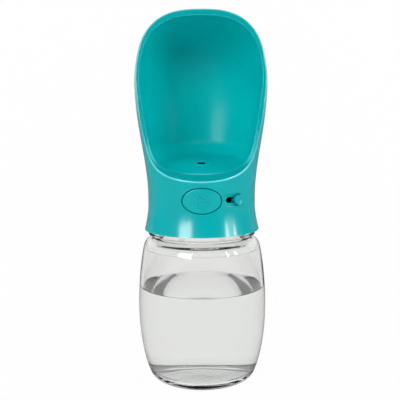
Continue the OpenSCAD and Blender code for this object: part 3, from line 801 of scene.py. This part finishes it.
def line_angle(s, z, inner):
    if z <= (LIP_IN_Z if inner else LIP_Z):
        return math.pi * s
    start = line_at_rim(z, inner)
    if start > 0.9999 or s > 0.9999:
        return math.pi
    turned = rim_angle(z, inner)
    return turned + (math.pi - turned) * max(0.0, s - start) / (1 - start)


def floor_z(y):
    return OUTLET_Z + FLOOR_SLOPE * y


print("scoop is", SCOOP_W, "mm wide, lip at", LIP_Z, "outlet at", OUTLET_Z)

# %% [markdown]
# One line of the head. It starts at the collar's lower edge, climbs the outside,
# crosses the rim, goes down the inner wall, turns through the fillet and runs over
# the sloped floor to the outlet. Rows crowd together near the rim, where the surface
# turns, and the rounding of the rim's edges is only a few more points.

# %% One line of the head
SKIRT_ROWS, OUTER_ROWS, WALL_ROWS, FILLET_ROWS, FLOOR_ROWS = 10, 64, 52, 10, 10
RIM_ROUND = 0.6


def head_line(s):
    top, top_in = rim_height(s, False), rim_height(s, True)
    line = []
    for row in range(SKIRT_ROWS + OUTER_ROWS + 1):
        if row <= SKIRT_ROWS:
            z = SKIRT_Z + FLARE_H * row / SKIRT_ROWS
        else:
            climb = math.sin(math.pi / 2 * (row - SKIRT_ROWS) / OUTER_ROWS)
            z = FLARE_TOP + (top - FLARE_TOP) * climb
        line.append(head_point(z, line_angle(s, z, False), False))
    outer_edge = len(line) - 1
    rim = head_point(top_in, line_angle(s, top_in, True), True)
    r = min(BOWL_FILLET, 0.7 * (rim[2] - floor_z(rim[1])))
    near_z = floor_z(head_point(OUTLET_Z, math.pi * s, True)[1]) + r
    foot_z = floor_z(head_point(near_z, line_angle(s, near_z, True), True)[1]) + r
    foot_z = min(foot_z, top_in - 0.05)
    for row in range(WALL_ROWS + 1):
        z = top_in + (foot_z - top_in) * (1 - math.cos(math.pi / 2 * row / WALL_ROWS))
        line.append(head_point(z, line_angle(s, z, True), True))
    foot = line[-1]

    def on_floor(x, y, share):
        return (x * share, y * share, floor_z(y * share))

    reach = math.hypot(foot[0], foot[1])
    for row in range(1, FILLET_ROWS + 1):
        turn = math.pi / 2 * row / FILLET_ROWS
        x, y, z = on_floor(foot[0], foot[1], 1 - BOWL_FILLET * (1 - math.cos(turn)) / reach)
        line.append((x, y, z + r * (1 - math.sin(turn))))
    start = line[-1]
    inward = RISER_FLANGE_R / math.hypot(start[0], start[1]) - 1
    floor = [
        on_floor(start[0], start[1], 1 + inward * row / FLOOR_ROWS)
        for row in range(1, FLOOR_ROWS + 1)
    ]
    return rounded_rim(line, outer_edge) + floor


def walk(points, corner, step, reach):
    """The point at a distance from a corner along a line, and the index after it."""
    left, at = reach, corner
    while True:
        a, b = Vector(points[at]), Vector(points[at + step])
        length = (b - a).length
        if length >= left:
            return a + (b - a) * (left / length), at + step
        left -= length
        at += step


def rounded_rim(line, edge):
    """The line with its outer and inner rim edges rounded and its rows spread evenly."""
    width = (Vector(line[edge + 1]) - Vector(line[edge])).length
    size = min(RIM_ROUND, 0.42 * width)
    curves = []
    for corner, step in ((edge, -1), (edge + 1, 1)):
        p = Vector(line[corner])
        other = Vector(line[edge + 1] if corner == edge else line[edge])
        far, after = walk(line, corner, step, size)
        near = p + (other - p) * (size / width)
        turns = [k / 6 for k in range(7)]
        curve = [(1 - t) ** 2 * far + 2 * t * (1 - t) * p + t * t * near for t in turns]
        curves.append((curve, after))
    (up, last), (down, first) = curves
    outside = resample(line[:last + 1] + [up[0]], SKIRT_ROWS + OUTER_ROWS)
    inside = resample([down[0]] + line[first:], WALL_ROWS + FILLET_ROWS)
    return outside + up[1:] + down[::-1] + inside[1:]


def resample(points, count):
    """The same line with count + 1 points, spread evenly along it."""
    points = [Vector(p) for p in points]
    marks = [0.0]
    for a, b in zip(points, points[1:]):
        marks.append(marks[-1] + (b - a).length)
    made, k = [], 0
    for i in range(count + 1):
        at = marks[-1] * i / count
        while k < len(points) - 2 and marks[k + 1] < at:
            k += 1
        share = (at - marks[k]) / max(1e-9, marks[k + 1] - marks[k])
        made.append(tuple(points[k].lerp(points[k + 1], min(1.0, share))))
    return made


HALF_LINES = 128
half = [head_line(i / HALF_LINES) for i in range(HALF_LINES + 1)]
print("rows along a line:", len(half[0]), "lines:", 2 * HALF_LINES)


def head_blank():
    rows = len(half[0])
    rings = []
    for row in range(rows):
        right = [half[i][row] for i in range(HALF_LINES + 1)]
        right[0] = (0.0, *right[0][1:])
        right[-1] = (0.0, *right[-1][1:])
        left = [(-x, y, z) for x, y, z in right[-2:0:-1]]
        rings.append(right + left)
    return rings_piece("head_teal", rings)

# %% [markdown]
# The openings are cut from the blank as they are milled into a mould: the threaded
# socket, the chamber over it, the oval for the button, the lock's track with its
# slot, the outlet and the eyelet. The cutters for the button and the track flare
# where they meet the collar's skin, which leaves the soft edges that catch the light.

# %% Cutters for the openings
NECK_SEAL_TOP = NECK_TOP + 1.6
CHAMBER_Z = NECK_SEAL_TOP + 1.4
SOCKET_R, CHAMBER_R = WAIST_R - 1.7, WAIST_R - 2.4
BUTTON_W, BUTTON_H, BUTTON_GAP = 19.6, 12.8, 0.3
LOCK_A, LOCK_TRAVEL, DEEP_A = 39.3, 10.8, 6.0
KNOB_R, TRACK_GAP, SHANK_R = 2.6, 0.5, 1.3
TRACK_FLOOR_R, SHALLOW_FLOOR_R = WAIST_R - 0.9, WAIST_R - 0.5
EYELET_Y, EYELET_Z = WAIST_R + 2.5, SKIRT_Z + 16
EYELET_R, EYELET_WALL, EYELET_W = 1.7, 1.6, 9.0
SOCKET_THREAD_Z, SOCKET_THREAD_H = 83.4, 1.0
SCREW_POST_R, SCREW_PILOT_R, POST_TOP = 2.6, 1.05, 140.0
BARREL_POST_Z, BARREL_PILOT_Z, BARREL_PILOT_TOP = 112.4, 111.4, 115.7
RISER_SEAT_Z, RISER_SEAT_RIM = 113.6, 1.4


def round_axis(r, degrees_from_front):
    """The x and y of a place at an angle from the front, round the bottle's axis."""
    a = math.radians(degrees_from_front)
    return (r * math.sin(a), -r * math.cos(a))


COVER_SCREWS = [round_axis(19.8, a) for a in (70, 135, 225, 290)]
BARREL_SCREWS = [(-10.5, 0), (10.5, 0)]


def cylinder(name, r, low, high, centre=(0, 0), steps=96):
    outline = [(0, low), (r, low), (r, high), (0, high)]
    piece = lathe(name, outline, steps)
    piece.data.transform(Matrix.Translation(Vector((*centre, 0)) * MM))
    return piece


def along_x(p, r, angle):
    return (p, r * math.cos(angle), r * math.sin(angle))


def on_collar(x, z, depth):
    """The point at x and z, a depth behind the collar's skin, straight back along Y."""
    wide = half_width(z, 0, HEAD_TOP)
    return (x, -math.sqrt(max(0.0, wide * wide - x * x)) + depth, z)


def oval_ring(grow, depth, steps=160):
    """A ring of the button's oval, sunk to a depth behind the skin."""
    ring = []
    for i in range(steps):
        a = math.tau * i / steps
        x = (BUTTON_W / 2 + grow) * math.cos(a)
        z = BUTTON_Z + (BUTTON_H / 2 + grow) * math.sin(a)
        ring.append(on_collar(x, z, depth))
    return ring


def button_cutter():
    """A flared oval: 0.45 mm of rounding at the skin, then a straight wall."""
    edge = 0.45
    rings = [oval_ring(BUTTON_GAP + edge + 1.5, -1.5)]
    for i in range(7):
        turn = math.pi / 2 * i / 6
        grow = BUTTON_GAP + edge * (1 - math.sin(turn))
        rings.append(oval_ring(grow, edge * (1 - math.cos(turn))))
    rings.append([(x, -WAIST_R * 0.45, z) for x, y, z in oval_ring(BUTTON_GAP, 0)])
    return rings_piece("button_cutter", rings)


def slot_ring(half_h, r, from_a=LOCK_A - LOCK_TRAVEL, to_a=LOCK_A, steps=24):
    """A ring of a round-ended slot along the collar's wall, at a radius."""
    ring = []
    for end, side in ((to_a, 1), (from_a, -1)):
        for i in range(steps + 1):
            turn = math.pi * i / steps
            along = half_h * math.sin(turn) * side
            up = half_h * math.cos(turn) * side
            a = math.radians(end - 90) + along / WAIST_R
            ring.append((r * math.cos(a), r * math.sin(a), BUTTON_Z + up))
    return ring


def track_cutter(name, wall, floor_r, from_a, to_a):
    """The knob's track: a rounded lip, a sloping side and a small fillet at its floor."""
    edge = 0.3
    rings = [slot_ring(wall + edge + 1.0, WAIST_R + 1.0, from_a, to_a)]
    for i in range(6):
        turn = math.pi / 2 * i / 5
        grow, depth = edge * (1 - math.sin(turn)), edge * (1 - math.cos(turn))
        rings.append(slot_ring(wall + grow, WAIST_R - depth, from_a, to_a))
    rings.append(slot_ring(wall - 0.05, floor_r + 0.1, from_a, to_a))
    rings.append(slot_ring(wall - 0.15, floor_r, from_a, to_a))
    return rings_piece(name, rings)


def lock_slot_cutter():
    """The slot that the knob's shank runs in, right through the wall."""
    return rings_piece("lock_slot", [slot_ring(SHANK_R + 0.2, r) for r in (WAIST_R, CHAMBER_R - 2)])


def chamber_cutters():
    """The socket and the chamber over it. The chamber's ceiling slopes with the floor."""
    sides = [(0, SKIRT_Z - 1), (SOCKET_R + 0.6, SKIRT_Z - 1), (SOCKET_R + 0.6, SKIRT_Z),
             (SOCKET_R, SKIRT_Z + 0.6), (SOCKET_R, CHAMBER_Z), (CHAMBER_R, CHAMBER_Z),
             (CHAMBER_R, OUTLET_Z + 10), (0, OUTLET_Z + 10)]
    space = lathe("space", sides, 256)
    for vertex in space.data.vertices:
        x, y, z = vertex.co / MM
        if z > OUTLET_Z:
            vertex.co.z = (OUTLET_Z - 2 + FLOOR_SLOPE * y) * MM
    posts = [
        cylinder("post", SCREW_POST_R, low, POST_TOP, place, 48)
        for places, low in ((COVER_SCREWS, CHAMBER_Z - 0.02), (BARREL_SCREWS, BARREL_POST_Z))
        for place in places
    ]
    posts.append(cylinder("seat", RISER_FLANGE_R + RISER_SEAT_RIM, RISER_SEAT_Z, POST_TOP))
    cut(space, *posts)
    return space


def eyelet():
    """A lug with rounded cheeks, blended into the collar by a wider foot."""
    half, r, cheek = EYELET_W / 2, EYELET_R + EYELET_WALL, 0.6
    outline = [(0, -half)]
    for side in (-1, 1):
        turns = range(7) if side < 0 else range(6, -1, -1)
        for i in turns:
            turn = math.pi / 2 * i / 6
            outline.append((r - cheek + cheek * math.sin(turn),
                            side * (half - cheek + cheek * math.cos(turn))))
    outline.append((0, half))
    lug = lathe("eyelet", outline, 64, along_x)
    lug.data.transform(Matrix.Translation(Vector((0, EYELET_Y, EYELET_Z)) * MM))
    rings = []
    for y, grow in ((WAIST_R - 1.6, 1.0), (WAIST_R - 0.4, 0.7), (WAIST_R + 0.2, 0.25),
                    (WAIST_R + 0.8, 0), (EYELET_Y, 0)):
        w, h, c = half + grow, r + grow, cheek + grow * 0.6
        ring = []
        for sx, sz, from_a in ((1, 1, 0), (-1, 1, 90), (-1, -1, 180), (1, -1, 270)):
            for i in range(7):
                a = math.radians(from_a + 15 * i)
                z = EYELET_Z + sz * (h - c) + c * math.sin(a)
                ring.append((sx * (w - c) + c * math.cos(a), y, z))
        rings.append(ring)
    foot = rings_piece("eyelet_foot", rings)
    return join(lug, foot)


# %% [markdown]
# The socket's thread is the mirror of the neck's: it fills the grooves between the
# neck's ridge, half a lead away, so the two run past each other when the head turns.

# %% Collar and scoop
def outlet_ring():
    """A low raised ring round the outlet, on the slope of the floor."""
    turns = [math.tau * i / 16 for i in range(16)]
    section = [(RISER_R + RISER_GAP + 0.5 * math.cos(a), 0.3 * math.sin(a)) for a in turns]

    def on_slope(p, r, angle):
        x, y = r * math.cos(angle), r * math.sin(angle)
        return (x, y, OUTLET_Z + FLOOR_SLOPE * y + p)

    return lathe("outlet_ring", section, 96, on_slope, closed=True)


def make_head():
    head = head_blank()
    join(head, eyelet())
    hole = lathe("eyelet_hole", [(0, -10), (EYELET_R, -10), (EYELET_R, 10), (0, 10)], 64, along_x)
    hole.data.transform(Matrix.Translation(Vector((0, EYELET_Y, EYELET_Z)) * MM))
    outlet = cylinder("outlet", OUTLET_R, OUTLET_Z - 20, OUTLET_Z + 20, steps=64)
    riser_room = cylinder("riser_room", RISER_R + RISER_GAP, OUTLET_Z - 20, RISER_TOP_Z + RISER_GAP)
    pilots = [
        cylinder("pilot", SCREW_PILOT_R, low, high, place, 32)
        for places, low, high in (
            (COVER_SCREWS, CHAMBER_Z - 1, CHAMBER_Z + 6.3),
            (BARREL_SCREWS, BARREL_PILOT_Z, BARREL_PILOT_TOP),
        )
        for place in places
    ]
    room, turn_a = KNOB_R + TRACK_GAP, LOCK_A - DEEP_A
    shallow = track_cutter(
        "track_shallow", room - 0.15, SHALLOW_FLOOR_R, LOCK_A - LOCK_TRAVEL, turn_a,
    )
    deep = track_cutter("track_deep", room, TRACK_FLOOR_R, turn_a, LOCK_A)
    join(head, outlet_ring())
    cut(head, chamber_cutters(), outlet, riser_room, button_cutter(),
        shallow, deep, lock_slot_cutter(), hole, *pilots)
    join(head, thread(SOCKET_R, SOCKET_R - SOCKET_THREAD_H, SOCKET_THREAD_Z, start=180.0))
    shade(head)
    return place_piece(head, TEAL, "head", ["head_shell"])


make_head()

# %% [markdown]
# ## Push button
# The button's face continues the collar's curve, a hair prouder than the skin, with a
# rounded edge. It is built from rings of the same oval as its hole, then hollowed from
# behind as a moulding is, with a boss for the valve stem. A plain paw print, drawn in
# raised lines, says what to do with it.

# %% Button
BUTTON_PROUD, BUTTON_WALL, CAP_BACK = 0.3, 1.4, WAIST_R - 4.4
FACE_R = WAIST_R + BUTTON_PROUD
BOSS_R, STEM_R, BORE_FRONT = 4.7, 2.0, 1.8 - WAIST_R
PAW_LINE_W, PAW_LINE_H = 0.5, 0.2


def face_y(x, r=FACE_R):
    return -math.sqrt(r * r - x * x)


def button_rings(grow, front_r, back_y, edge):
    """Rings from the middle of the face out, over the rounded edge and back."""
    rings = []
    steps = 160

    def ring(share, inset, depth):
        made = []
        for i in range(steps):
            a = math.tau * i / steps
            x = (BUTTON_W / 2 + grow - inset) * math.cos(a) * share
            z = (BUTTON_H / 2 + grow - inset) * math.sin(a) * share
            made.append((x, face_y(x, front_r) + depth, BUTTON_Z + z))
        return made

    for k in range(1, 13):
        rings.append(ring(k / 13, edge, 0))
    for k in range(7):
        turn = math.pi / 2 * k / 6
        rings.append(ring(1, edge * (1 - math.sin(turn)), edge * (1 - math.cos(turn))))
    rings.append([(x, -back_y, z) for x, y, z in ring(1, 0, 0)])
    return rings


def raised_line(points, width, height):
    """A closed raised line on the button's face, with a round back."""
    count = len(points)
    rings = []
    for i in range(count):
        (x0, z0), (x, z), (x1, z1) = points[i - 1], points[i], points[(i + 1) % count]
        length = math.hypot(x1 - x0, z1 - z0)
        nx, nz = (z1 - z0) / length, -(x1 - x0) / length
        ring = []
        for k in range(9):
            turn = math.pi * k / 8
            side, up = math.cos(turn) * width / 2, math.sin(turn) * height
            px, pz = x + nx * side, z + nz * side
            ring.append((px, face_y(px) - up, BUTTON_Z + pz))
        for side in (-1, 1):
            px, pz = x + nx * side * width / 2, z + nz * side * width / 2
            ring.append((px, face_y(px) + 0.25, BUTTON_Z + pz))
        rings.append(ring)
    flat = [p for ring in rings for p in ring]
    return new_piece("line", flat, grid_faces(count, len(rings[0]), wrap_rows=True))


def egg(x, z, wide, high, tilt, steps=40, waist=0.0):
    """An egg-shaped loop of points, or a pad with a dip in its lower side."""
    loop = []
    c, s = math.cos(tilt), math.sin(tilt)
    for i in range(steps):
        a = math.tau * i / steps
        dip = waist * math.cos(a) ** 2 if math.sin(a) < 0 else 0
        px, pz = wide * math.cos(a), high * math.sin(a) * (1 - dip)
        loop.append((x + px * c - pz * s, z + px * s + pz * c))
    return loop


def paw():
    """Four toes and a pad."""
    loops = [egg(0, -1.55, 2.5, 1.75, 0, 56, 0.25)]
    loops += [egg(-3.5, 0.75, 0.75, 1.05, 0.55), egg(-1.35, 2.35, 0.8, 1.15, 0.15),
              egg(1.35, 2.35, 0.8, 1.15, -0.15), egg(3.5, 0.75, 0.75, 1.05, -0.55)]
    return [raised_line(loop, PAW_LINE_W, PAW_LINE_H) for loop in loops]


def along_y(p, r, angle):
    return (r * math.cos(angle), p, BUTTON_Z + r * math.sin(angle))


def make_button():
    button = rings_piece("button_teal", button_rings(0, FACE_R, CAP_BACK, 0.5))
    inside = button_rings(-BUTTON_WALL, FACE_R - BUTTON_WALL, CAP_BACK - 1, 0.3)
    hollow = rings_piece("hollow", inside)
    boss = lathe("boss", [(0, -WAIST_R), (BOSS_R, -WAIST_R), (BOSS_R, 0), (0, 0)], 96, along_y)
    bore = lathe("bore", [(0, BORE_FRONT), (STEM_R, BORE_FRONT), (STEM_R, 0), (0, 0)], 64, along_y)
    cut(hollow, boss)
    cut(button, hollow, bore)
    join(button, *paw())
    shade(button)
    return place_piece(button, TEAL, "button", ["button_cap"])


make_button()

# %% [markdown]
# ## Lock knob
# A small turned knob with a dished top and a rounded rim. A fingertip pushes it along
# its track, so the dish has a few fine steps for grip.

# %% Lock knob
KNOB_PROUD, KNOB_RIM, KNOB_DISH, KNOB_STEP = 1.7, 0.45, 0.5, 0.04


def knob_outline():
    low, high = SHALLOW_FLOOR_R + 0.1, WAIST_R + KNOB_PROUD
    dish_r = KNOB_R - KNOB_RIM
    outline = [(0, low + 0.5), (SHANK_R, low + 0.5), (SHANK_R, low)]
    outline += [(KNOB_R - 0.25, low), (KNOB_R, low + 0.25)]
    for k in range(7):
        turn = math.radians(15 * k)
        outline.append((dish_r + KNOB_RIM * math.cos(turn),
                        high - KNOB_RIM + KNOB_RIM * math.sin(turn)))
    for k in range(1, 25):
        r = dish_r * (1 - k / 24)
        step = KNOB_STEP * math.cos(math.tau * 3.5 * k / 24) if k < 22 else 0
        outline.append((r, high - KNOB_DISH * (1 - (r / dish_r) ** 2) + step))
    outline[-1] = (0, outline[-1][1])
    return outline


def make_knob():
    def on_lock(p, r, angle):
        x, y, z = p, r * math.cos(angle), r * math.sin(angle)
        a = math.radians(LOCK_A - 90)
        return (x * math.cos(a) - y * math.sin(a), x * math.sin(a) + y * math.cos(a), BUTTON_Z + z)

    knob = lathe("lock_knob_teal", knob_outline(), 96, on_lock)
    shade(knob)
    return place_piece(knob, TEAL, "lock", ["lock_knob"])


make_knob()

# %% [markdown]
# ## Return spring
# A spring is a wire swept along a helix, so it is made as rings of points along that
# path, finer than in the solid. Its pitch closes up towards both ends, as a wound
# spring's does. On the real bottle, pressing the button squashes it to just over half its
# length, against the valve; the mesh here keeps its length and rides on the head.

# %% Return spring
WIRE_R, SPRING_R, TURNS, PITCH_CLOSING = 0.3, 4.4, 6, 0.045
BARREL_FRONT, SPRING_GAP = -15, 0.05
SPRING_FRONT, SPRING_BACK = -CAP_BACK + WIRE_R + SPRING_GAP, BARREL_FRONT - WIRE_R - SPRING_GAP


def make_spring():
    steps, sides = TURNS * 48, 16
    rings = []
    for i in range(steps + 1):
        t = i / steps
        a = math.tau * TURNS * t
        along = t - PITCH_CLOSING * math.sin(math.tau * t)
        y = SPRING_FRONT + (SPRING_BACK - SPRING_FRONT) * along
        rings.append([
            ((SPRING_R + WIRE_R * math.cos(b)) * math.cos(a), y + WIRE_R * math.sin(b),
             BUTTON_Z + (SPRING_R + WIRE_R * math.cos(b)) * math.sin(a))
            for b in (math.tau * k / sides for k in range(sides))
        ])
    spring = rings_piece("spring_steel", rings)
    shade(spring)
    place_piece(spring, STEEL, "head", ["return_spring"])
    BUTTON_Z * MM
    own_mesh(spring)
    return spring


make_spring()

# %% [markdown]
# ## Screws
# Four screws hold the inner cover and two hold the valve's barrel. Each is a turned
# body with a fine thread joined on and a cross recess cut in. The screws of a set never
# move apart, so their meshes are merged into one piece.

# %% Screws
SHANK, HEAD_R, HEAD_T, HEAD_EDGE = 1.0, 2.0, 1.2, 0.5
CORE = SHANK - 0.18
THREAD_PITCH, THREAD_RISE = 0.8, 0.17
CROSS_W, CROSS_DEEP, CROSS_REACH = 0.24, 0.6, 1.0
BARREL_SCREW_Z, BARREL_GRIP, COVER_GRIP = 111.0, 4.4, 7.4


def screw_body(name, grip):
    """A turned screw with its head below and its tip above."""
    outline = [(0, -HEAD_T)]
    for k in range(7):
        turn = math.radians(15 * k)
        outline.append((HEAD_R - HEAD_EDGE + HEAD_EDGE * math.sin(turn),
                        -HEAD_T + HEAD_EDGE - HEAD_EDGE * math.cos(turn)))
    outline += [(HEAD_R, 0), (CORE, 0), (CORE, grip - 0.4), (0.25, grip), (0, grip)]
    return lathe(name, outline, 48)


def cross_slot(turn):
    """One arm of the cross recess, narrower at its floor."""
    w, reach = CROSS_W, CROSS_REACH
    block = [(-reach, -w), (reach, -w), (reach, w), (-reach, w)]
    rings = [[(x, y, -HEAD_T - 0.5) for x, y in block],
             [(x * 0.6, y * 0.8, -HEAD_T + CROSS_DEEP) for x, y in block]]
    slot = rings_piece("slot", rings)
    slot.data.transform(Matrix.Rotation(math.radians(turn), 4, "Z"))
    return slot


def screw_thread(grip):
    turns = (grip - 0.9) / THREAD_PITCH
    rings = []
    for i in range(int(turns * 24) + 1):
        a = math.tau * i / 24
        rise = smooth(i / 12) * smooth((turns * 24 - i) / 12)
        reach, root = CORE + THREAD_RISE * rise, SHANK - 0.4
        h = 0.4 + THREAD_PITCH * i / 24
        section = ((root, -0.2), (reach, -0.04), (reach, 0.04), (root, 0.2))
        rings.append([(r * math.cos(a), r * math.sin(a), h + k) for r, k in section])
    return rings_piece("screw_thread", rings)


def screw_piece(name, nodes, places, grip):
    """Cross-recess screws with a fine thread, all in one piece."""
    made = []
    for place in places:
        body = screw_body(name, grip)
        cut(body, cross_slot(0), cross_slot(90))
        join(body, screw_thread(grip))
        body.data.transform(Matrix.Translation(Vector(place) * MM))
        made.append(body)
    piece = made[0]
    merged = bmesh.new()
    for one in made:
        merged.from_mesh(one.data)
    merged.to_mesh(piece.data)
    merged.free()
    for one in made[1:]:
        bpy.data.objects.remove(one)
    shade(piece)
    return place_piece(piece, STEEL, "head", nodes)


screw_piece("cover_screws_steel", ["cover_screws"],
            [(*xy, NECK_SEAL_TOP) for xy in COVER_SCREWS], COVER_GRIP)
screw_piece("barrel_screws_steel", ["barrel_screws"],
            [(*xy, BARREL_SCREW_Z) for xy in BARREL_SCREWS], BARREL_GRIP)

# %% [markdown]
# ## Neck seal
# The neck's seal is a flat silicone ring with softened edges. It stays inside the
# socket's ridge, which runs past it when the head is screwed off.

# %% Neck seal
NECK_SEAL_IN, NECK_SEAL_OUT, SEAL_EDGE = NECK_R - 1.9, NECK_R + 0.35, 0.3


def make_neck_seal():
    inner, outer = NECK_SEAL_IN + SEAL_EDGE, NECK_SEAL_OUT - SEAL_EDGE
    low, high = NECK_TOP + SEAL_EDGE, NECK_SEAL_TOP - SEAL_EDGE
    section = []
    for r, z, start in ((outer, high, 0), (inner, high, 90), (inner, low, 180), (outer, low, 270)):
        section += arc_corner(r, z, start, SEAL_EDGE)
    ring = lathe("neck_seal_silicone", section, 160, closed=True)
    shade(ring)
    return place_piece(ring, SILICONE, "lift_ring", ["neck_seal"])


make_neck_seal()

# %% [markdown]
# ## Finishes for the pieces that keep their solid shape
# The valve, the seals and the cover are turned and flat parts whose solids are right
# as they are. They only get their materials. The barrel is moulded in the head's
# teal, because its riser shows in the outlet.

# %% Finishes on the solids
FINISHES = {
    "clear_plastic": CLEAR, "teal_plastic": TEAL, "pale_plastic": PALE,
    "silicone": SILICONE, "steel": STEEL,
}
for part in frame["record"]["subparts"]:
    finish = TEAL if part["node"] == "valve_barrel" else FINISHES[part["material_slot"]]
    for slot in frame["nodes"][part["node"]].material_slots:
        slot.material = finish
print("finished", len(frame["nodes"]), "solids")

# %% [markdown]
# ## Floor, backdrop and light
# A clear bottle stands against white, so that its edges draw themselves in grey. The
# floor and the backdrop are one sheet with a sweep between them, so no line shows where
# they meet. Light Path tells the sheet what kind of ray meets it: it is white where the
# camera sees it, directly or through the bottle, and keeps a little of its paper there
# for the bottle's soft shadow. Gloss sees it as a pale grey, lighter in the upright
# part, which gives the edges of the collar and the bottle a soft light line.

# %% Floor and backdrop
FLOOR_FRONT, SWEEP_Y, SWEEP_R, WALL_TOP, HALF_WIDE = -900, 500, 300, 1500, 1500
FLOOR_DROP = 0.05
WHITE_SHARE, UPRIGHT_FROM_TO = 0.96, (0.05, 0.25)


def backdrop_finish():
    finish = Finish("backdrop_white")
    path = finish.tree.nodes.new("ShaderNodeLightPath")

    def ray(name):
        return Wire(finish, path.outputs[name])

    def mixed(share, first, second):
        return finish.node("ShaderNodeMixShader", None, share, first, second)

    def glow(colour):
        return finish.node("ShaderNodeEmission", None, Color=colour, Strength=1.0)

    grain = finish.noise(40.0, 3.0)
    colour = finish.blend(grain, (0.84, 0.84, 0.84), (0.88, 0.88, 0.88))
    paper = finish.node("ShaderNodeBsdfDiffuse", None, Color=colour)
    white = glow((1.0, 1.0, 1.0, 1.0))
    upright = finish.place().part("Z").between(*UPRIGHT_FROM_TO)
    mirrored = glow(finish.blend(upright, (0.2, 0.2, 0.2), (0.7, 0.7, 0.7)))
    surface = mixed(ray("Is Glossy Ray"), paper, mirrored)
    surface = mixed(ray("Is Transmission Ray"), surface, white)
    surface = mixed(ray("Is Camera Ray") * WHITE_SHARE, surface, white)
    finish.node("ShaderNodeOutputMaterial", None, Surface=surface)
    return finish.material


PAPER = backdrop_finish()


def make_backdrop():
    """A floor that turns up behind the bottle in one sweep."""
    outline = [(FLOOR_FRONT, 0), (SWEEP_Y, 0)]
    for degrees in range(5, 91, 5):
        a = math.radians(degrees)
        outline.append((SWEEP_Y + SWEEP_R * math.sin(a), SWEEP_R - SWEEP_R * math.cos(a)))
    outline.append((SWEEP_Y + SWEEP_R, WALL_TOP))
    points, faces = [], []
    for y, z in outline:
        points += [(-HALF_WIDE, y, z - FLOOR_DROP), (HALF_WIDE, y, z - FLOOR_DROP)]
    for i in range(len(outline) - 1):
        faces.append((2 * i, 2 * i + 1, 2 * i + 3, 2 * i + 2))
    sweep = new_piece("backdrop", points, faces)
    sweep.data.shade_smooth()
    sweep.data.materials.append(PAPER)
    print("backdrop with", len(faces), "faces")
    return sweep


make_backdrop()

# %% [markdown]
# Large soft panels stand in a ring round the bottle and aim at its middle. Most of them
# light only the matt share of the surfaces, which sets how bright each side is. The two
# gleams show only in the gloss, and give the collar its pair of upright highlights.
# Parted like this, the two can be set one by one. None is seen through the clear
# plastic, where a panel would show as a white block.

# %% Light
AIM_Z, LAMP_REACH = 0.12, 1.1


def panel(name, degrees_right, rise, size, power, gleam=False):
    """A soft panel at an angle to the right of the front and at a rise above level."""
    a, e = math.radians(degrees_right), math.radians(rise)
    level = LAMP_REACH * math.cos(e)
    data = bpy.data.lights.new(name, "AREA")
    data.shape = "RECTANGLE"
    data.size, data.size_y = size
    data.energy = power
    lamp = bpy.data.objects.new(name, data)
    bpy.context.collection.objects.link(lamp)
    lamp.location = (level * math.sin(a), -level * math.cos(a), AIM_Z + LAMP_REACH * math.sin(e))
    aim = Vector((0, 0, AIM_Z)) - lamp.location
    lamp.rotation_euler = aim.to_track_quat("-Z", "Y").to_euler()
    lamp.visible_diffuse = not gleam
    lamp.visible_glossy = gleam
    lamp.visible_transmission = False


PANELS = (
    ("left_side", -80, 10, (1.0, 1.4), 5.4),
    ("left_wide", -50, 20, (0.5, 0.8), 2.3),
    ("left_box", -35, 17, (0.30, 0.50), 2.0),
    ("front_box", 0, 35, (0.4, 0.3), 4.9),
    ("top_box", 0, 60, (1.0, 1.0), 0.7),
    ("right_box", 60, 17, (0.26, 0.50), 4.0),
    ("right_side", 85, 10, (1.0, 1.4), 4.4),
    ("left_rear", -122, 25, (0.7, 0.8), 3.5),
    ("right_rear", 122, 25, (0.7, 0.8), 3.5),
    ("left_gleam", -33, 17, (0.50, 0.42), 8.0, True),
    ("right_gleam", 60, 17, (0.42, 0.42), 13.0, True),
)
for values in PANELS:
    panel(*values)
print("soft panels:", len(PANELS))

# %% [markdown]
# The world is white where the camera or the clear plastic looks past the backdrop, and
# all but dark for gloss, so that only the panels and the backdrop show in it. It gives
# no light of its own.

# %% World
AMBIENT, IN_GLOSS = 0.0, 0.05


def light_world():
    world = bpy.data.worlds.new("world")
    bpy.context.scene.world = world
    world.use_nodes = True
    tree = world.node_tree
    tree.nodes.clear()
    path = tree.nodes.new("ShaderNodeLightPath")

    def background(level):
        made = tree.nodes.new("ShaderNodeBackground")
        made.inputs["Color"].default_value = (1.0, 1.0, 1.0, 1.0)
        made.inputs["Strength"].default_value = level
        return made.outputs[0]

    def choose(ray, shader_off, shader_on):
        mix = tree.nodes.new("ShaderNodeMixShader")
        tree.links.new(path.outputs[ray], mix.inputs[0])
        tree.links.new(shader_off, mix.inputs[1])
        tree.links.new(shader_on, mix.inputs[2])
        return mix.outputs[0]

    light = choose("Is Glossy Ray", background(AMBIENT), background(IN_GLOSS))
    light = choose("Is Transmission Ray", light, background(1.0))
    light = choose("Is Camera Ray", light, background(1.0))
    out = tree.nodes.new("ShaderNodeOutputWorld")
    tree.links.new(light, out.inputs[0])
    print("world: light", AMBIENT, "in gloss", IN_GLOSS)


light_world()
